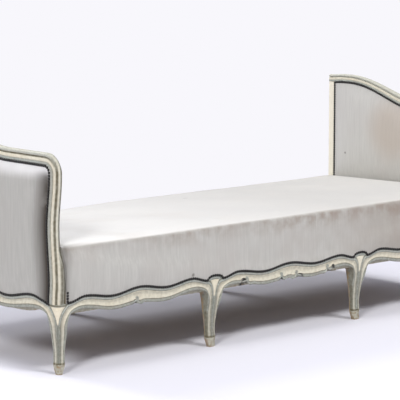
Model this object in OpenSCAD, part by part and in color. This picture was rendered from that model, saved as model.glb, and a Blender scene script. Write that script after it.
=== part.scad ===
// Painted daybed with two raised upholstered ends, a long sprung seat and moulded cabriole legs.
// The model stands on Z = 0, with X along its length and the moulded front facing -Y.
// Inside the modules X runs from the left end frame, Y from the front face of the seat rails.

/* [Overall size] */
// Length over the outer faces of the two end frames
body_l = 2067; // [1900:1:2300]
// Depth from the front face of the seat rails to the rear face
body_d = 815; // [750:1:870]
// Outer face of an end frame to the middle of the nearer mid leg
end_bay_l = 680; // [600:1:740]
// Height of the front edge of the seat
seat_h = 414; // [395:1:440]
// Height of the rear edge of the seat
seat_rear_h = 390; // [375:1:420]

/* [End frames] */
// Height of the low front part of an end
end_low_h = 715; // [690:1:740]
// Height of the raised rear part of an end
end_high_h = 809; // [780:1:840]
// How far the edge of an end falls again towards its rear corner
end_droop = 5; // [0:1:15]
// Thickness of the stiles and top rails along X
frame_t = 24; // [22:0.5:30]
// Width of a front stile, also of the front part of a top rail
stile_w = 37; // [33:0.5:42]
// Height of the top rail where its edge climbs
climb_w = 38; // [34:0.5:46]
// Width of a rear stile, also of the rear part of a top rail
rear_stile_w = 28; // [24:0.5:36]
// Outer radius of the rounded front corner of an end
corner_r = 64; // [55:1:75]
// How far the top of a front stile leans out past the seat rails
stile_lean = 7; // [3:0.5:12]
// How far the middle of a front stile curves inward
stile_hollow = 9; // [4:0.5:14]
// Thickness along X of the foot of a front stile, beside the cover
stile_foot = 39; // [28:0.5:42]

/* [Seat rails] */
// Thickness of the seat rails
rail_t = 36; // [30:0.5:42]
// Height of the top of the front and rear rails
rail_top = 300; // [285:1:320]
// Depth of the ledge that the covers are nailed into
rabbet = 6; // [4:0.5:8]
// Height of the moulded edge beside a leg, also of the heads of the corner legs
head_h = 232; // [225:1:240]
// Height of the moulded edge at the crest near a leg
crest_h = 246.5; // [238:0.5:256]
// Height of the moulded edge at its dip
dip_h = 233; // [228:0.5:242]
// Height of the moulded edge in the middle of a bay
middle_h = 248; // [240:0.5:258]
// Height of the moulded edge at its dip on an end rail
end_dip_h = 227; // [222:0.5:238]
// Height of the lower edge where it leaves a leg
spring_h = 186; // [180:1:192]
// Height of the lower edge at the top of its arch beside a leg
arch_top_h = 207.5; // [200:0.5:214]
// Width of that arch
arch_w = 56; // [44:1:64]
// Height of the lower edge at its dip
low_dip_h = 189; // [182:1:198]
// Height of the lower edge in the middle of a bay
low_middle_h = 197; // [192:1:206]
// Height of the straight underside behind the moulded face
plank_h = 190; // [188:1:198]

/* [Legs] */
// Width of the head of a mid leg
head_w = 68; // [60:1:74]
// Height of the dome above the head of a mid leg
dome_h = 14; // [10:1:20]
// Depth of the block at the head of a mid leg
block_d = 45; // [40:1:50]
// Side of the square head of a corner leg
corner_w = 50; // [46:1:56]
// How far the ankle of a mid leg is set back from the rail
ankle_in = 16; // [10:0.5:24]
// How far the ankle of a corner leg is set back from each face
corner_in = 20; // [14:0.5:24]
// Height of the plain collar above a corner leg
collar_h = 6; // [4:0.5:9]
// Width of the sole of a rear leg
rear_sole = 28; // [24:1:34]

/* [Upholstery] */
// How far the seat rises in its middle
seat_crown = 10; // [0:1:20]
// How far the front and rear covers swell past their edges
cover_swell = 4; // [1:0.5:6]
// Radius of the soft edge round the seat
seat_edge = 20; // [14:1:26]
// How far an outer end pad swells past the frame
outer_swell = 12; // [6:1:20]
// How far an inner end pad swells past the frame
inner_swell = 16; // [6:1:24]
// Thickness of a webbing band
web_t = 1.5; // [1:0.1:2.5]
// Width of a webbing band
web_w = 60; // [50:1:70]
// Distance between neighbouring webbing bands
web_step = 96; // [85:1:120]

/* [Inner frame] */
// Width of a cross brace
brace_w = 30; // [24:1:36]
// Height of a cross brace
brace_h = 50; // [40:1:60]
// Leg of a triangular corner block, measured along a rail
block_leg = 94; // [80:1:110]
// Height of a corner block
block_h = 46; // [36:1:50]

/* [Hidden] */

// Colours of the aged paint, the bare wood and the cloths
cream = "#e4dac0";
oak = "#8d6f4e";
jute = "#b59a6c";
velvet = "#c9c8cd";

// Clearance between pieces that lie beside each other
gap = 0.3;
// Clearance round the edge of an end pad
pad_gap = 1;
// Amount by which the inner post of a leg stays behind its rails
post_ease = 0.5;
// Thickness of the hessian
hessian_t = 1;
// Thickness of the hessian behind an end pad
end_hessian_t = 2;
// Width of a raised bead and of the groove beside it
bead_w = 8;
groove_w = 2;
// Depth of a groove, and of the edges of a bead or band
groove_d = 2.6;
lip = 1.4;
// Depth of the channel down the middle of a leg
channel_d = 4;
// Setback of a pad's edge from the face of its frame
pad_edge = 1.5;

half_w = head_w / 2;
mid_x = [end_bay_l, body_l - end_bay_l];
inner_r = corner_r - stile_w;
corner_y = corner_r - stile_lean;
corner_z = end_low_h - corner_r;
end_rail_top = rail_top + web_t;
hessian_z = rail_top + web_t + web_t;
pad_z = hessian_z + hessian_t + gap;
rear_in = body_d - rear_stile_w;
end_rear_h = end_high_h - end_droop;
seam_drop = seat_edge / 2;
// Height below which a front stile has its full foot
flare_from = rail_top + seat_edge * 2;

// Shares of half a bay at which its moulded edge turns, then those of its lower edge past the arch
edge_shares = [0, 0.23, 0.61, 1];
edge_heights = [head_h, crest_h, dip_h, middle_h];
end_edge_heights = [head_h, crest_h, end_dip_h, middle_h];
low_dip_share = 0.65;
// Shares of half a bay at which its sections lie
station_shares = [0, 0.03, 0.08, 0.15, 0.24, 0.34, 0.44, 0.54, 0.64, 0.76, 0.88, 1];
// Angles at which the dome of a mid leg has its points
dome_angles = [22.5, 45, 67.5];

// Each row is a section of a cabriole leg from the sole up: shares of the head's height and width,
// of the ankle's setback, and of the block's depth that its back face reaches
leg_shares = [[0, 0.37, 0.96, 0.78], [0.034, 0.47, 0.88, 0.8], [0.086, 0.55, 0.8, 0.84],
    [0.129, 0.59, 0.8, 0.87], [0.172, 0.55, 0.9, 0.88], [0.259, 0.5, 1, 0.9], [0.345, 0.53, 0.96, 0.9],
    [0.431, 0.62, 0.82, 0.91], [0.517, 0.72, 0.66, 0.92], [0.603, 0.8, 0.5, 0.94], [0.668, 0.85, 0.4, 0.96],
    [0.733, 0.91, 0.3, 0.99], [0.776, 0.96, 0.24, 1]];
// The same above the lower edge of the rails, where the head keeps its full width
head_shares = [[0.81, 1, 0.19, 1], [0.862, 1, 0.1, 1], [0.9, 1, 0.05, 1], [0.945, 1, 0, 1]];
// Shares of half the face at which the moulding of a leg turns, and of the channel's depth it has there
face_shares = [0, 0.12, 0.24, 0.42, 0.6, 0.7, 0.8, 0.92, 1];
shaft_shares = [1, 0.9, 0.25, 0, 0.12, 0.5, 0.15, 0.2, 1];
cartouche_shares = [0, 0.05, 0.25, 0.7, 0.7, 0.35, 0, 0.15, 1];
// Shares of the depth, from front to rear, at which the edge of an end climbs
climb_shares = [0.31, 0.87];
high_share = 0.9;
width_shares = [0, 0.28, 0.57, 0.88, 1];
rail_widths = [stile_w, stile_w, climb_w, rear_stile_w, rear_stile_w];
// Shares of a stile's height at which its front turns
stile_shares = [0, 0.17, 0.57, 1];
stile_fronts = [stile_hollow / 2, 0, stile_hollow, -stile_lean];
// Shares of a pad's height at which its sections have points, and the power that squares its swell;
// an inner pad also has points on the part that the seat hides, and its own columns across the end
pad_shares = [0, 0.05, 0.14, 0.26, 0.38, 0.5, 0.62, 0.74, 0.86, 0.95, 1];
pad_power = 4;
hidden_shares = [0, 0.33, 0.67];
inner_stations = concat([0, 0.012], [for (i = [0:16]) 0.035 + 0.965 * i / 16]);

function ease(a, b, t) = a + (b - a) * (1 - cos(180 * t)) / 2;
function wave(shares, sizes, s, i = 0) = s <= shares[i + 1] || i + 2 == len(shares)
    ? ease(sizes[i], sizes[i + 1], (s - shares[i]) / (shares[i + 1] - shares[i]))
    : wave(shares, sizes, s, i + 1);

// A bay is a pair of ends; its share is 0 beside a leg and 1 in the middle
function bay_half(bay) = (bay[1] - bay[0]) / 2;
function bay_share(bay, x) = 1 - abs(x - bay[0] - bay_half(bay)) / bay_half(bay);
function edge_at(bay, x) = wave(edge_shares, bay == end_bay ? end_edge_heights : edge_heights,
    bay_share(bay, x));
function low_at(bay, x) = let (half = bay_half(bay), s = bay_share(bay, x), t = s * half / arch_w)
    t < 1 ? spring_h + (arch_top_h - spring_h) * sqrt(1 - pow(1 - t, 2))
    : wave([arch_w / half, low_dip_share, 1], [arch_top_h, low_dip_h, low_middle_h], s);
function bay_stations(bay) = let (n = len(station_shares) - 1, half = bay_half(bay))
    concat([for (i = [0:n]) bay[0] + half * station_shares[i]],
        [for (i = [n - 1:-1:0]) bay[1] - half * station_shares[i]]);

front_bays = [[corner_w, end_bay_l - half_w], [end_bay_l + half_w, body_l - end_bay_l - half_w],
    [body_l - end_bay_l + half_w, body_l - corner_w]];
end_bay = [corner_w, body_d - corner_w];

// Upper edge of the front woodwork at x, over rails, domes and corner legs
function dome_at(x, leg) = head_h + dome_h * sqrt(max(0, 1 - pow((x - leg) / half_w, 2)));
function front_edge(x) = x <= corner_w || x >= body_l - corner_w ? head_h
    : abs(x - mid_x[0]) < half_w ? dome_at(x, mid_x[0])
    : abs(x - mid_x[1]) < half_w ? dome_at(x, mid_x[1])
    : edge_at(x < mid_x[0] ? front_bays[0] : x < mid_x[1] ? front_bays[1] : front_bays[2], x);
function dome_stations(leg) = concat([for (a = dome_angles) leg - half_w * cos(a)], [leg],
    [for (i = [2:-1:0]) leg + half_w * cos(dome_angles[i])]);
seat_stations = concat([frame_t + gap], bay_stations(front_bays[0]), dome_stations(mid_x[0]),
    bay_stations(front_bays[1]), dome_stations(mid_x[1]), bay_stations(front_bays[2]),
    [body_l - frame_t - gap]);

// Front face of a front stile at height z, and the edges of a top rail at depth y
function stile_front(z) = wave(stile_shares, stile_fronts, min(1, (z - head_h) / (corner_z - head_h)));
function stile_in(z) = stile_front(z) + stile_w;
// Extra thickness of a front stile at height z; it grows from the seat's edge down to the foot
function stile_flare(z) = ease(stile_foot - frame_t, 0,
    max(0, min(1, (z - flare_from) / (seat_h - flare_from))));
function end_top(y) = y < climb_shares[0] * body_d ? end_low_h
    : y < climb_shares[1] * body_d
    ? ease(end_low_h, end_high_h, (y / body_d - climb_shares[0]) / (climb_shares[1] - climb_shares[0]))
    : y < high_share * body_d ? end_high_h
    : ease(end_high_h, end_rear_h, (y / body_d - high_share) / (1 - high_share));
function end_width(y) = wave(width_shares, rail_widths, y / body_d);
function end_under(y) = y < corner_y
    ? corner_z + sqrt(max(0, pow(inner_r, 2) - pow(corner_y - y, 2)))
    : end_top(y) - end_width(y);

// Closed solid through rings of equally many points; caps are triangles of ring points and a hub
function fan(loop, hub) = [for (k = [0:len(loop) - 1]) [hub, loop[k], loop[(k + 1) % len(loop)]]];
module loft(rings, hubs, cap = undef) {
    n = len(rings[0]);
    m = len(rings);
    tris = cap == undef ? fan([for (j = [0:n - 1]) j], n) : cap;
    points = concat([for (r = rings) each r], hubs);
    first = function (j) j == n ? m * n : j;
    last = function (j) j == n ? m * n + 1 : (m - 1) * n + j;
    sides = [for (i = [0:m - 2], j = [0:n - 1]) let (k = (j + 1) % n, a = i * n)
        each [[a + j, a + n + k, a + k], [a + j, a + n + j, a + n + k]]];
    ends = [for (t = tris) each [[first(t[0]), first(t[1]), first(t[2])],
        [last(t[0]), last(t[2]), last(t[1])]]];
    polyhedron(points = points, faces = concat(sides, ends), convexity = 6);
}

module placed() {
    translate([-body_l / 2, -(body_d - stile_lean) / 2, 0]) children();
}
module at_right() {
    translate([body_l, 0, 0]) mirror([1, 0, 0]) children();
}
// Turns a flat outline of depth and height into a solid that runs along X
module along_x(x, length) {
    translate([x, 0, 0]) rotate([90, 0, 90]) linear_extrude(length) children();
}
// Turns a flat outline of length and height into a solid that runs along Y
module along_y(y, length) {
    translate([0, y + length, 0]) rotate([90, 0, 0]) linear_extrude(length) children();
}

// Points across a moulded face from u = -1 to u = 1, each with its depth
function face_row(depths) = let (n = len(face_shares) - 1)
    concat([for (i = [n:-1:1]) [-face_shares[i], depths[i] * channel_d]],
        [for (i = [0:n]) [face_shares[i], depths[i] * channel_d]]);
function mid_ring(x, row, depths) = let (w = row[1] * half_w, y = row[2] * ankle_in, z = row[0] * head_h)
    concat([for (p = face_row(depths)) [x + p[0] * w, y + p[1], z]],
        [[x + w, y + rabbet, z], [x + w, row[3] * block_d, z],
        [x - w, row[3] * block_d, z], [x - w, y + rabbet, z]]);
function dome_ring(x, a) = let (w = half_w * cos(a), z = head_h + dome_h * sin(a))
    concat([for (p = face_row(cartouche_shares))
        [x + p[0] * w, abs(p[0]) == 1 ? rabbet : p[1], z]],
        [[x + half_w, rabbet, z], [x + half_w, block_d, z],
        [x - half_w, block_d, z], [x - half_w, rabbet, z]]);
function post_ring(x, z) = let (side = half_w - post_ease)
    concat([for (p = face_row(cartouche_shares)) [x + p[0] * (side - lip), rabbet, z]],
        [[x + side, rabbet, z], [x + side, block_d, z], [x - side, block_d, z], [x - side, rabbet, z]]);
module mid_leg(x) {
    rings = concat([for (row = leg_shares) mid_ring(x, row, shaft_shares)],
        [for (row = head_shares) mid_ring(x, row, cartouche_shares)],
        [mid_ring(x, [1, 1, 0, 1], cartouche_shares)],
        [for (a = dome_angles) dome_ring(x, a)],
        [post_ring(x, head_h + dome_h), post_ring(x, rail_top)]);
    loft(rings, [[x, leg_shares[0][2] * ankle_in + rear_sole / 3, 0], [x, block_d / 2, rail_top]]);
}

function corner_ring(side, from, z, depths) =
    concat([for (p = face_row(depths)) p[0] < 0 ? [from + p[1], from - p[0] * side, z]
        : p[0] == 0 ? [from + p[1], from + p[1], z] : [from + p[0] * side, from + p[1], z]],
        [[from + side, from + side, z]]);
function corner_post(z) = let (x = stile_foot + gap, end = corner_w - post_ease)
    concat([for (p = face_row(shaft_shares)) p[0] < 0 ? [x, rabbet - p[0] * (end - rabbet), z]
        : [x + p[0] * (end - x), rabbet, z]], [[end, end, z]]);
module corner_leg() {
    flat_shares = [for (d = face_shares) 0];
    rings = concat([for (row = leg_shares)
            corner_ring(row[1] * corner_w, row[2] * corner_in, row[0] * head_h, shaft_shares)],
        [for (row = head_shares)
            corner_ring(corner_w, row[2] * corner_in, row[0] * head_h, cartouche_shares)],
        [corner_ring(corner_w, 0, head_h - collar_h, flat_shares), corner_ring(corner_w, 0, head_h, flat_shares),
        corner_post(head_h), corner_post(rail_top)]);
    sole = leg_shares[0][2] * corner_in + leg_shares[0][1] * corner_w * 0.55;
    loft(rings, [[sole, sole, 0], [(stile_foot + corner_w) / 2, corner_w / 2, rail_top]]);
}

// Moulded section of a seat rail: y inward from the face, z from the upper edge down and back up
function rail_ring(x, top, low, high) = let (full = bead_w + groove_w)
    [[x, rabbet, high], [x, rabbet, top], [x, lip, top], [x, 0, top - bead_w / 2], [x, lip, top - bead_w],
    [x, groove_d, top - bead_w - groove_w / 2], [x, lip, top - full], [x, lip / 3, (top + low) / 2],
    [x, lip, low + full], [x, groove_d, low + bead_w + groove_w / 2], [x, lip, low + bead_w],
    [x, 0, low + bead_w / 2], [x, lip, low], [x, rail_t * 0.4, low + lip], [x, rail_t / 2, plank_h],
    [x, rail_t, plank_h], [x, rail_t, high]];
module moulded_rail(bay, high) {
    hub = function (x) [x, rail_t * 0.55, (spring_h + head_h) / 2];
    loft([for (x = bay_stations(bay)) rail_ring(x, edge_at(bay, x), low_at(bay, x), high)],
        [hub(bay[0]), hub(bay[1])]);
}
module end_rail() {
    translate([0, body_d, 0]) rotate([0, 0, -90]) moulded_rail(end_bay, end_rail_top);
}

// Outline of the rear woodwork from front to rear, with the ledge for the cover
module rear_outline(depth) {
    polygon([[body_d, spring_h], [body_d, head_h], [body_d - rabbet, head_h], [body_d - rabbet, rail_top],
        [body_d - depth, rail_top], [body_d - depth, spring_h]]);
}
module rear_rail(bay) {
    along_x(bay[0], bay[1] - bay[0]) rear_outline(rail_t);
}
// Side view of a rear leg, which tapers below the rails
module rear_side() {
    rear_outline(corner_w);
    polygon([[body_d, spring_h], [body_d - corner_w, spring_h], [body_d - rear_sole - rabbet, 0],
        [body_d - rabbet, 0]]);
}
module rear_mid_leg(x) {
    intersection() {
        along_x(x - half_w, head_w) rear_side();
        along_y(body_d - corner_w, corner_w) polygon([[x - half_w, rail_top], [x - half_w, spring_h],
            [x - rear_sole / 2, 0], [x + rear_sole / 2, 0], [x + half_w, spring_h], [x + half_w, rail_top]]);
    }
}
module rear_corner_leg() {
    intersection() {
        along_x(0, corner_w) rear_side();
        along_y(body_d - corner_w, corner_w) polygon([[0, head_h], [0, spring_h], [rabbet, 0],
            [rabbet + rear_sole, 0], [corner_w, spring_h], [corner_w, rail_top],
            [frame_t + gap, rail_top], [frame_t + gap, head_h]]);
    }
}

// Moulded section of an end frame: x through its thickness t, depth a inward from its outer edge
function frame_section(h, t = frame_t) = let (groove_a = bead_w + groove_w)
    let (side = [[lip, h], [0, h - bead_w / 2], [groove_d, h - groove_a], [lip / 3, h * 0.52],
        [groove_d, groove_a * 1.2], [lip / 3, groove_a / 2], [groove_d, lip / 3]])
    concat(side, [[t / 2, 0]], [for (i = [len(side) - 1:-1:0]) [t - side[i][0], side[i][1]]]);
module front_stile() {
    steps = 16;
    rings = [for (i = [0:steps]) let (z = head_h + (corner_z - head_h) * i / steps, y = stile_front(z))
        [for (p = frame_section(stile_w, frame_t + stile_flare(z))) [p[0], y + p[1], z]]];
    loft(rings, [[frame_t / 2, stile_front(head_h) + stile_w / 2, head_h],
        [frame_t / 2, stile_front(corner_z) + stile_w / 2, corner_z]]);
}
module rear_stile() {
    along_x(0, frame_t) polygon([[body_d, head_h], [body_d, end_under(body_d) - gap],
        [rear_in, end_under(rear_in) - gap], [rear_in, head_h]]);
}
// Depth at the share s of the straight part of a top rail
function rail_y(s) = corner_y + s * (body_d - corner_y);
module top_rail() {
    turns = 6;
    steps = 26;
    corner = [for (i = [0:turns - 1]) let (a = 90 * i / turns)
        [for (p = frame_section(stile_w)) [p[0], corner_y - (corner_r - p[1]) * cos(a),
            corner_z + (corner_r - p[1]) * sin(a)]]];
    straight = [for (i = [0:steps]) let (y = rail_y(i / steps))
        [for (p = frame_section(end_width(y))) [p[0], y, end_top(y) - p[1]]]];
    loft(concat(corner, straight), [[frame_t / 2, corner_y - corner_r + stile_w / 2, corner_z],
        [frame_t / 2, body_d, end_rear_h - rear_stile_w / 2]]);
}

// Points of an end pad's column at share s of its width, between a lower and an upper edge
pad_stations = let (stops = concat([stile_in(head_h)], bay_stations(end_bay), [rear_in - pad_gap]))
    [for (y = stops) (y - stops[0]) / (stops[len(stops) - 1] - stops[0])];
function pad_y(s, z) = let (front = stile_in(z) + pad_gap) front + s * (rear_in - pad_gap - front);
function swell(s, t) = sqrt(1 - pow(abs(2 * s - 1), pad_power)) * sqrt(1 - pow(abs(2 * t - 1), pad_power));
function outer_low(y) = (y < end_bay[0] || y > end_bay[1] ? head_h : edge_at(end_bay, y)) + gap;
function pad_sides(s, heights, faces, back) = concat(
    [for (i = [0:len(heights) - 1]) [faces[i], pad_y(s, heights[i]), heights[i]]],
    [for (i = [len(heights) - 1:-1:0]) [back, pad_y(s, heights[i]), heights[i]]]);
function outer_column(s) = let (low = outer_low(pad_y(s, head_h)),
        high = end_under(pad_y(s, corner_z)) - pad_gap)
    pad_sides(s, [for (t = pad_shares) low + t * (high - low)],
        [for (t = pad_shares) pad_edge - swell(s, t) * (outer_swell + pad_edge)], rabbet - gap);
module outer_pad() {
    columns = [for (s = pad_stations) outer_column(s)];
    z_mid = (head_h + corner_z) / 2;
    loft(columns, [[rabbet / 2, pad_y(0, z_mid), z_mid], [rabbet / 2, pad_y(1, z_mid), z_mid]]);
}
function inner_column(s) = let (high = end_under(pad_y(s, corner_z)) - pad_gap, face = frame_t - pad_edge,
        sit = seat_h + seat_crown)
    pad_sides(s, concat([for (t = hidden_shares) pad_z + t * (sit - pad_z)],
            [for (t = pad_shares) sit + t * (high - sit)]),
        concat([for (t = hidden_shares) face],
            [for (t = pad_shares) face + swell(s, t) * (inner_swell + pad_edge)]),
        rabbet + end_hessian_t + gap);
module inner_pad() {
    columns = [for (i = [len(inner_stations) - 1:-1:0]) inner_column(inner_stations[i])];
    x_mid = (frame_t + rabbet) / 2;
    z_mid = (pad_z + corner_z) / 2;
    loft(columns, [[x_mid, pad_y(1, z_mid), z_mid], [x_mid, pad_y(0, z_mid), z_mid]]);
}
module end_hessian() {
    steps = 16;
    rows = [for (i = [0:steps]) end_rail_top + (corner_z - end_rail_top) * i / steps];
    along_x(rabbet, end_hessian_t) polygon(concat([for (z = rows) [stile_in(z) + pad_gap, z]],
        [for (s = [for (k = pad_stations) if (k > 0) k]) let (y = pad_y(s, corner_z))
            [y, end_under(y) - pad_gap]], [[rear_in - pad_gap, end_rail_top]]));
}

// Points of a ring at x, moved clear of the foot of the stile where the ring starts beside it
function beside_stile(x, points, spare) = [for (p = points) let (near = p[1] <= corner_w
    ? (stile_flare(p[2]) * spare) : 0) x < corner_w ? [x + near, p[1], p[2]]
    : x > body_l - corner_w ? [x - near, p[1], p[2]] : p];

// Height of the seat's top over the share t of its depth, a little lower towards the ends
function seat_top(x, t) = let (u = 2 * x / body_l - 1)
    seat_h + t * (seat_rear_h - seat_h) + seat_crown * sin(180 * t) * (1 - pow(u, 6));
function seat_ring(x) = let (seam = seat_h - seam_drop + gap, rear_seam = seat_rear_h - seam_drop + gap)
    beside_stile(x, [[x, seat_edge, seat_h], [x, seat_edge / 4, seat_h - seat_edge / 5],
    [x, -cover_swell / 4, seam], [x, rabbet, seam],
    for (t = [0.25, 0.5, 0.75]) [x, rabbet, seam + (flare_from - seam) * t],
    [x, rabbet, flare_from], [x, rabbet, pad_z], [x, corner_w, pad_z],
    [x, body_d - rabbet, pad_z], [x, body_d - rabbet, rear_seam],
    [x, body_d - cover_swell / 4, rear_seam], [x, body_d - seat_edge / 4, seat_rear_h - seat_edge / 5],
    [x, body_d - seat_edge, seat_rear_h],
    for (t = [0.84, 0.67, 0.5, 0.33, 0.16]) [x, body_d * t, seat_top(x, t)]], 1.15);
module seat_form() {
    first = frame_t + gap;
    last = body_l - frame_t - gap;
    mid = [body_d / 2, (seat_h + pad_z) / 2];
    loft([for (s = [0, 0.02, 0.05, 0.1, 0.18, 0.3, 0.5, 0.7, 0.82, 0.9, 0.95, 0.98, 1])
        seat_ring(first + s * (last - first))], [[first, mid[0], mid[1]], [last, mid[0], mid[1]]]);
}
// Cloth borders of the seat, from the nails along the woodwork up to the seam under the seat's edge
function border_ring(x) = let (low = front_edge(x) + gap, in = rabbet - gap, seam = seat_h - seam_drop)
    beside_stile(x, [[x, -cover_swell / 4, seam],
    for (t = [0.25, 0.5, 0.75]) [x, -cover_swell * (0.25 + t * 0.75), seam + (flare_from - seam) * t],
    [x, -cover_swell, flare_from], [x, -cover_swell / 2, rail_top],
    [x, cover_swell / 4, low], [x, in, low], [x, in, flare_from],
    for (t = [0.75, 0.5, 0.25]) [x, in, seam + (flare_from - seam) * t], [x, in, seam]], 1);
module front_border_form() {
    y = rabbet / 2;
    z = rail_top;
    loft([for (x = seat_stations) border_ring(x)],
        [[seat_stations[0], y, z], [body_l - seat_stations[0], y, z]]);
}
module rear_border_form() {
    seam = seat_rear_h - seam_drop;
    in = body_d - rabbet + gap;
    along_x(frame_t + gap, body_l - (frame_t + gap) * 2) polygon([[body_d - cover_swell / 4, seam],
        [body_d, (seam + rail_top) / 2], [body_d - cover_swell / 4, rail_top],
        [body_d - cover_swell / 2, head_h + gap], [in, head_h + gap], [in, seam]]);
}

// Webbing bands, evenly spread either side of the middle of the span they cross
function band_places(span) = let (n = floor((span / 2 - web_w) / web_step)) [for (i = [-n:n]) i * web_step];
module crosswise_bands() {
    for (x = band_places(body_l - corner_w * 2))
        translate([body_l / 2 + x - web_w / 2, rabbet + web_t, rail_top])
            cube([web_w, body_d - (rabbet + web_t) * 2, web_t]);
}
module lengthwise_bands() {
    for (y = band_places(body_d - corner_w * 2))
        translate([rabbet + end_hessian_t + gap, body_d / 2 + y - web_w / 2, rail_top + web_t])
            cube([body_l - (rabbet + end_hessian_t + gap) * 2, web_w, web_t]);
}
module hessian_sheet() {
    translate([frame_t + gap, corner_w, hessian_z])
        cube([body_l - (frame_t + gap) * 2, body_d - corner_w * 2, hessian_t]);
}
module cross_brace(x) {
    translate([x - brace_w / 2, block_d, rail_top - brace_h])
        cube([brace_w, body_d - block_d - corner_w, brace_h]);
}
module corner_block() {
    translate([0, 0, rail_top - block_h]) linear_extrude(block_h)
        polygon([[rail_t, corner_w], [corner_w, corner_w], [corner_w, rail_t],
            [rail_t + block_leg, rail_t], [rail_t, rail_t + block_leg]]);
}

module front_left_corner_leg() color(cream) placed() corner_leg();
module front_right_corner_leg() color(cream) placed() at_right() corner_leg();
module front_left_mid_leg() color(cream) placed() mid_leg(mid_x[0]);
module front_right_mid_leg() color(cream) placed() mid_leg(mid_x[1]);
module rear_left_corner_leg() color(cream) placed() rear_corner_leg();
module rear_right_corner_leg() color(cream) placed() at_right() rear_corner_leg();
module rear_left_mid_leg() color(cream) placed() rear_mid_leg(mid_x[0]);
module rear_right_mid_leg() color(cream) placed() rear_mid_leg(mid_x[1]);
module front_rail_left() color(cream) placed() moulded_rail(front_bays[0], rail_top);
module front_rail_middle() color(cream) placed() moulded_rail(front_bays[1], rail_top);
module front_rail_right() color(cream) placed() moulded_rail(front_bays[2], rail_top);
module rear_rail_left() color(cream) placed() rear_rail(front_bays[0]);
module rear_rail_middle() color(cream) placed() rear_rail(front_bays[1]);
module rear_rail_right() color(cream) placed() rear_rail(front_bays[2]);
module left_end_rail() color(cream) placed() end_rail();
module right_end_rail() color(cream) placed() at_right() end_rail();
module left_front_stile() color(cream) placed() front_stile();
module right_front_stile() color(cream) placed() at_right() front_stile();
module left_rear_stile() color(cream) placed() rear_stile();
module right_rear_stile() color(cream) placed() at_right() rear_stile();
module left_top_rail() color(cream) placed() top_rail();
module right_top_rail() color(cream) placed() at_right() top_rail();
module left_cross_brace() color(oak) placed() cross_brace(mid_x[0]);
module right_cross_brace() color(oak) placed() cross_brace(mid_x[1]);
module corner_blocks() color(oak) placed() {
    for (side = [0, 1], back = [0, 1])
        translate([side * body_l, back * body_d, 0]) mirror([side, 0, 0]) mirror([0, back, 0]) corner_block();
}
module crosswise_webbing() color(jute) placed() crosswise_bands();
module lengthwise_webbing() color(jute) placed() lengthwise_bands();
module seat_hessian() color(jute) placed() hessian_sheet();
module left_end_hessian() color(jute) placed() end_hessian();
module right_end_hessian() color(jute) placed() at_right() end_hessian();
module seat_pad() color(velvet) placed() seat_form();
module front_border() color(velvet) placed() front_border_form();
module rear_border() color(velvet) placed() rear_border_form();
module left_inner_upholstery() color(velvet) placed() inner_pad();
module right_inner_upholstery() color(velvet) placed() at_right() inner_pad();
module left_outer_upholstery() color(velvet) placed() outer_pad();
module right_outer_upholstery() color(velvet) placed() at_right() outer_pad();

front_left_corner_leg();
front_left_mid_leg();
front_right_mid_leg();
front_right_corner_leg();
rear_left_corner_leg();
rear_left_mid_leg();
rear_right_mid_leg();
rear_right_corner_leg();
front_rail_left();
front_rail_middle();
front_rail_right();
rear_rail_left();
rear_rail_middle();
rear_rail_right();
left_end_rail();
right_end_rail();
left_front_stile();
right_front_stile();
left_rear_stile();
right_rear_stile();
left_top_rail();
right_top_rail();
left_cross_brace();
right_cross_brace();
corner_blocks();
crosswise_webbing();
lengthwise_webbing();
seat_hessian();
left_end_hessian();
right_end_hessian();
seat_pad();
front_border();
rear_border();
left_inner_upholstery();  // left_inner_pad
right_inner_upholstery();  // right_inner_pad
left_outer_upholstery();  // left_outer_pad
right_outer_upholstery();  // right_outer_pad
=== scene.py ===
import math

import bpy
import numpy as np
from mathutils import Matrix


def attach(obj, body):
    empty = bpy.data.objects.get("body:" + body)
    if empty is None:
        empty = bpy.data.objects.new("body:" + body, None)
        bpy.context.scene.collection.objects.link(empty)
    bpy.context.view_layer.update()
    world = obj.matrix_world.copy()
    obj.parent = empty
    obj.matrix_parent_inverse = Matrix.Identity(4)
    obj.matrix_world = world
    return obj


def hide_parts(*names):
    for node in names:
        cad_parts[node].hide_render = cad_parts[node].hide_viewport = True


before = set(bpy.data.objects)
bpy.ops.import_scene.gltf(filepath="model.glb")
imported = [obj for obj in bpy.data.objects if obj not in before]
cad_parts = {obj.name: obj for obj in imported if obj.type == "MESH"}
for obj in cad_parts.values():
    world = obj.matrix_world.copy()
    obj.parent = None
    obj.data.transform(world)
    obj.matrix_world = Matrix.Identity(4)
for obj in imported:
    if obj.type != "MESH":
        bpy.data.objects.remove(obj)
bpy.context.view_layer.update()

# The camera stands to the left of the front and a little above the seat. From here the left end is
# seen from outside and the right end from inside.
bpy.ops.object.select_all(action="DESELECT")
bpy.ops.object.camera_add(location=(-5.0900, -5.6115, 1.5146),
                          rotation=(math.radians(90 - 8.1523), 0, math.radians(48.1385 - 90)))
camera = bpy.context.object
camera.data.lens = 190.2
camera.data.sensor_width = 36
camera.data.clip_end = 100
bpy.context.scene.camera = camera
bpy.context.scene.view_settings.view_transform = "Standard"

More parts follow.
